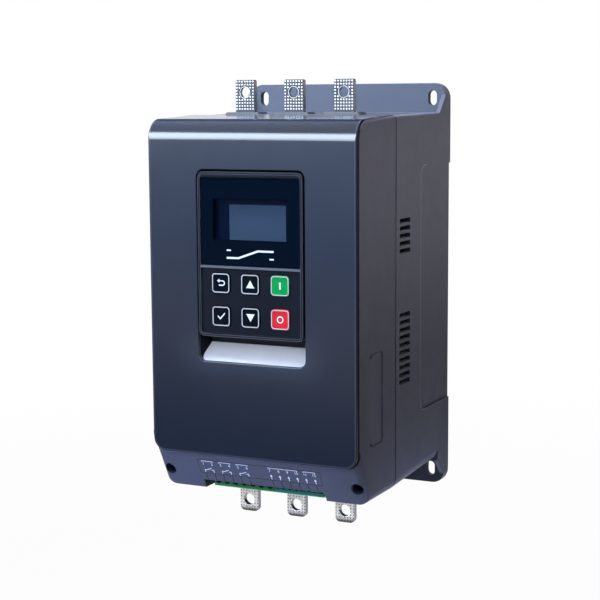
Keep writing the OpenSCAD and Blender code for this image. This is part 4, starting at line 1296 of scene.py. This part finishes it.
@dataclass
class FasciaPrint:
    """Wiring print of the lower fascia: a frame, contact signs and a line down to each terminal."""

    palette: Palette
    angle: float = 29.3
    foot_depth: float = 109.0
    foot_z: float = -98.0
    frame_half: float = 34.7
    frame_top: float = -80.9
    frame_bottom: float = -88.8
    notch_z: float = -93.0
    line_w: float = 0.34
    leader_w: float = 0.5
    bracket_w: float = 0.272
    bracket_inset: float = 0.7
    bracket_drop: float = 0.5
    numeral_h: float = 1.55
    numeral_inset: float = 2.3
    sign_rise: float = 2.0
    sign_leg: float = 1.4
    contact_lift: float = 1.1
    contact_gap: float = 0.8
    arrow_half: float = 0.7
    arrow_foot: float = 0.2
    arrow_tip: float = 1.3
    arrow_stem: float = 0.4
    left_first: float = -31.7
    left_pitch: float = 5.04
    right_first: float = 6.6
    right_pitch: float = 4.92
    per_group: int = 6

    def plane(self) -> DrawingPlane:
        """Finds the sloped plane.

        Returns:
            The plane, drawn with the real heights as the upright measure.
        """
        lean = math.tan(math.radians(self.angle))
        origin = Vector((0, lean * self.foot_z - self.foot_depth, 0))
        return DrawingPlane(origin, Vector((0, -lean, 1)))

    def build(self) -> None:
        """Builds the dark lines and the white signs."""
        left = [self.left_first + i * self.left_pitch for i in range(self.per_group)]
        right = [self.right_first + i * self.right_pitch for i in range(self.per_group)]
        self.build_lines(left + right)
        self.build_signs(left, right)

    def build_lines(self, terminals: Sequence[float]) -> None:
        """Builds the frame and the lines down to the terminals.

        Args:
            terminals: Places across of the lines.
        """
        half, top, low = self.frame_half, self.frame_top, self.frame_bottom
        dark = Print(self.plane())
        dark.stroke([(-half, low), (half, low), (half, top), (-half, top)], self.line_w, closed=True)
        for x in terminals:
            dark.stroke([(x, low), (x, self.notch_z)], self.leader_w)
        dark.piece("fascia_line_print", "housing", self.palette.get("dark_ink"))

    def build_signs(self, left: Sequence[float], right: Sequence[float]) -> None:
        """Builds the contacts of the left group, the entries of the right one and the numerals of both.

        Args:
            left: Places across of the left group.
            right: Places across of the right group.
        """
        white = Print(self.plane())
        row = self.frame_bottom + self.sign_rise
        pairs = list(zip(left[0::2], left[1::2]))
        for first, second in pairs:
            self.contact(white, first, second, row)
        for first, second in pairs + [(right[0], right[3]), (right[4], right[5])]:
            self.bracket(white, first, second)
        for x in right:
            self.entry(white, x, row)
        for number, x in enumerate([*left, *right], 1):
            white.numerals(str(number), (x, self.frame_top - self.numeral_inset), self.numeral_h)
        white.piece("fascia_sign_print", "housing", self.palette.get("white_ink"))

    def contact(self, sheet: Print, first: float, second: float, z: float) -> None:
        """Draws an open contact between two lines.

        Args:
            sheet: Print that it is drawn on.
            first: Place across of its first line.
            second: Place across of its second line.
            z: Height of its middle.
        """
        quarter = (second - first) / 4
        for x, way in ((first, quarter), (second, -quarter)):
            sheet.stroke([(x, z - self.sign_leg), (x, z), (x + way, z)], self.line_w)
        tip = (second - quarter * self.contact_gap, z + self.contact_lift)
        sheet.stroke([(first + quarter, z), tip], self.line_w)

    def bracket(self, sheet: Print, first: float, second: float) -> None:
        """Draws a bracket over lines that belong together.

        Args:
            sheet: Print that it is drawn on.
            first: Place across of the first line.
            second: Place across of the last line.
        """
        start, end = first - self.bracket_inset, second + self.bracket_inset
        high = self.frame_top - self.bracket_inset
        low = high - self.bracket_drop
        sheet.stroke([(start, low), (start, high), (end, high), (end, low)], self.bracket_w)

    def entry(self, sheet: Print, x: float, z: float) -> None:
        """Draws an arrow into a terminal.

        Args:
            sheet: Print that it is drawn on.
            x: Place across of its line.
            z: Height of its middle.
        """
        sheet.stroke([(x, z - self.sign_leg), (x, z + self.arrow_stem)], self.line_w)
        half, foot = self.arrow_half, z + self.arrow_foot
        sheet.fill([(x - half, foot), (x + half, foot), (x, z + self.arrow_tip)])


@dataclass(frozen=True)
class SoftBox:
    """A rectangular studio lamp, in watts, that lights matte surfaces, shines in glossy ones, or both."""

    name: str
    place: Place
    aim: Place
    size: Point
    power: float
    tint: str
    lights: bool = True
    shines: bool = False
    spread: float = 180.0

    def build(self) -> None:
        """Builds the lamp."""
        lamp = bpy.data.lights.new(self.name, "AREA")
        lamp.shape = "RECTANGLE"
        lamp.size, lamp.size_y = self.size
        lamp.energy = self.power
        lamp.spread = math.radians(self.spread)
        lamp.color = linear(self.tint)[:3]
        holder = bpy.data.objects.new(self.name, lamp)
        holder.location = self.place
        aim = Vector(self.aim) - Vector(self.place)
        holder.rotation_euler = aim.to_track_quat("-Z", "Y").to_euler()
        holder.visible_diffuse = self.lights
        holder.visible_glossy = self.shines
        bpy.context.scene.collection.objects.link(holder)


@dataclass(frozen=True)
class Card:
    """An upright studio card that only reflections see.

    Low and high are two heights above its foot, each with the card's strength there. The tint comes in
    above high.
    """

    name: str
    place: Place
    turn: float
    size: Point
    low: Point
    high: Point
    tint: str = "ffffff"

    def glow(self) -> bpy.types.Material:
        """Makes the card's light.

        Returns:
            The material.
        """
        graph = Graph(self.name + "_grey")
        height = graph.place()[2]
        low, high = self.low[0] / MM, self.high[0] / MM
        light = graph.add("Emission")
        graph.feed(light.inputs["Strength"], graph.ramp(height, low, high, self.low[1], self.high[1]))
        tinted = graph.ramp(height, high, 2 * high - low)
        graph.feed(light.inputs["Color"], graph.blend(tinted, linear("ffffff"), linear(self.tint)))
        graph.feed(graph.surface, light.outputs[0])
        return graph.material

    def build(self) -> None:
        """Builds the card."""
        w, h = self.size
        mesh = bmesh.new()
        corners = ((-w / 2, 0), (w / 2, 0), (w / 2, h), (-w / 2, h))
        mesh.faces.new([mesh.verts.new((x, 0, z)) for x, z in corners])
        card = new_object(self.name, mesh, self.glow())
        card.location = self.place
        card.rotation_euler.z = math.radians(self.turn)
        card.visible_camera = False
        card.visible_diffuse = False
        card.visible_shadow = False


@dataclass
class Studio:
    """White room, pale floor, lamps, cards for the reflections and the camera."""

    ambient: float = 0.062
    floor_z: float = -0.30
    floor_reach: Point = (0.5, 1.4)
    floor_colour: str = "808080"
    floor_roughness: float = 0.9
    floor_glow: float = 0.965
    camera_place: Place = (0.33930, -0.78334, 0.10369)
    camera_aim: Place = (-0.00307, -0.05977, -0.00374)
    camera_roll: float = -0.36
    lens: float = 90.53
    sensor: float = 36.0
    nearest: float = 0.01
    boxes: tuple[SoftBox, ...] = (
        SoftBox("overhead_box", (-0.1, -0.26, 0.60), (0.0, -0.12, 0.0), (0.4, 0.6), 2.7, "dcebff"),
        SoftBox("top_strip", (-0.10, -0.09, 0.31), (0.0, -0.05, 0.0), (0.36, 0.12), 3.4, "dceaff"),
        SoftBox(
            "front_box", (-0.37, -0.97, 0.48), (0.0, -0.12, 0.06), (1.2, 0.42), 12.4, "c2deff", shines=True
        ),
        SoftBox(
            "edge_strip", (-0.37, -0.96, 0.37), (0.0, -0.12, 0.06), (1.2, 0.58), 48.0, "e6f0ff",
            lights=False, shines=True,
        ),
        SoftBox(
            "low_box", (-0.12, -0.18, -0.28), (-0.02, -0.13, -0.09), (0.4, 0.12), 0.21, "b8c2ff", spread=40.0
        ),
        SoftBox(
            "right_box", (0.30, -0.06, 0.20), (0.06, -0.06, 0.06), (0.3, 0.06), 0.105, "fff4ee", spread=45.0
        ),
        SoftBox(
            "corner_box", (0.12, -0.06, -0.22), (0.06, -0.06, -0.125), (0.12, 0.02), 0.026, "d8dcff",
            spread=30.0,
        ),
        SoftBox(
            "scoop_box", (0.0, -0.42, -0.04), (0.0, -0.118, -0.024), (0.07, 0.01), 0.0056, "f4faf6",
            spread=6.0,
        ),
        SoftBox("back_box", (0.0, 0.90, 0.30), (0.0, 0.0, 0.0), (0.1, 0.8), 7.5, "f4f7ff"),
    )
    cards: tuple[Card, ...] = (
        Card("left_card", (-0.20, -0.58, -0.295), 23.6, (0.9, 0.42), (0.11, 0.0), (0.20, 0.80), "6ca4ff"),
        Card("back_card", (0.0, 0.55, 0.13), 0.0, (2.4, 1.0), (0.07, 1.4), (0.22, 0.03)),
        Card("right_card", (0.75, 0.75, -0.29), -45.0, (1.4, 0.9), (0.15, 0.02), (0.42, 0.6)),
    )

    @staticmethod
    def seen(nodes: Nodes) -> Socket:
        """Finds the rays that show the background: from the camera, a reflection or glass.

        Args:
            nodes: Tree that needs to know.

        Returns:
            1 for those rays and 0 for the rest.
        """
        path = nodes.add("LightPath").outputs
        bent = nodes.math("MAXIMUM", path["Is Glossy Ray"], path["Is Transmission Ray"])
        return nodes.math("MAXIMUM", path["Is Camera Ray"], bent)

    def build_room(self) -> None:
        """Builds the white world, whose light on the object is softer than it looks."""
        world = bpy.data.worlds.new("white_room")
        bpy.context.scene.world = world
        world.use_nodes = True
        nodes = Nodes(world.node_tree)
        light = nodes.add("Background")
        light.inputs["Strength"].default_value = self.ambient
        white = nodes.add("Background")
        white.inputs["Color"].default_value = linear("ffffff")
        room = nodes.either_shader(self.seen(nodes), light.outputs[0], white.outputs[0])
        nodes.feed(nodes.add("OutputWorld").inputs["Surface"], room)

    def floor_paper(self) -> bpy.types.Material:
        """Makes the paper, which keeps a faint shadow, fades into the room and is open from below.

        Returns:
            The material.
        """
        graph = Graph("floor_paper")
        across, depth, _ = graph.place()
        near, far = (reach / MM for reach in self.floor_reach)
        graph.set(base_color=linear(self.floor_colour), roughness=self.floor_roughness)
        graph.set(alpha=graph.ramp(graph.length(across, depth), near, far, 1.0, 0.0))
        paper = graph.shader.outputs[0]
        share = graph.math("MULTIPLY", self.seen(graph), self.floor_glow)
        pale = graph.either_shader(share, paper, graph.add("Emission").outputs[0])
        below = graph.add("NewGeometry").outputs["Backfacing"]
        clear = graph.add("BsdfTransparent").outputs[0]
        graph.feed(graph.surface, graph.either_shader(below, pale, clear))
        return graph.material

    def build_floor(self) -> None:
        """Builds the pale floor."""
        mesh = bmesh.new()
        bmesh.ops.create_grid(mesh, x_segments=1, y_segments=1, size=self.floor_reach[1])
        floor = new_object("floor", mesh, self.floor_paper())
        floor.location.z = self.floor_z

    def build_camera(self) -> None:
        """Builds the camera at the measured place, aim and roll."""
        data = bpy.data.cameras.new("camera")
        data.lens = self.lens
        data.sensor_width = self.sensor
        data.clip_start = self.nearest
        place = Vector(self.camera_place)
        ahead = (Vector(self.camera_aim) - place).normalized()
        level = ahead.cross(Vector((0, 0, 1))).normalized()
        rise = level.cross(ahead)
        roll = math.radians(self.camera_roll)
        right = level * math.cos(roll) + rise * math.sin(roll)
        up = rise * math.cos(roll) - level * math.sin(roll)
        turn = Matrix((right, up, -ahead)).transposed()
        camera = bpy.data.objects.new("camera", data)
        camera.matrix_world = Matrix.Translation(place) @ turn.to_4x4()
        bpy.context.scene.collection.objects.link(camera)
        bpy.context.scene.camera = camera

    def build(self) -> None:
        """Builds the whole studio."""
        bpy.context.scene.view_settings.view_transform = "Standard"
        self.build_room()
        self.build_floor()
        for thing in self.boxes + self.cards:
            thing.build()
        self.build_camera()
        LOG.info("built the studio with %d lamps", len(self.boxes))


def main() -> None:
    """Builds the dressed object and its studio."""
    logging.basicConfig(level=logging.INFO, format="%(name)s: %(message)s")
    for left_over in list(bpy.data.objects):
        bpy.data.objects.remove(left_over)
    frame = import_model()
    palette = Palette()
    Solids(frame, palette).dress()
    pads = BarPads(palette)
    for number in BARS:
        pads.build(number)
    KeypadPrint(palette).build()
    FasciaPrint(palette).build()
    Studio().build()


if __name__ == "__main__":
    main()
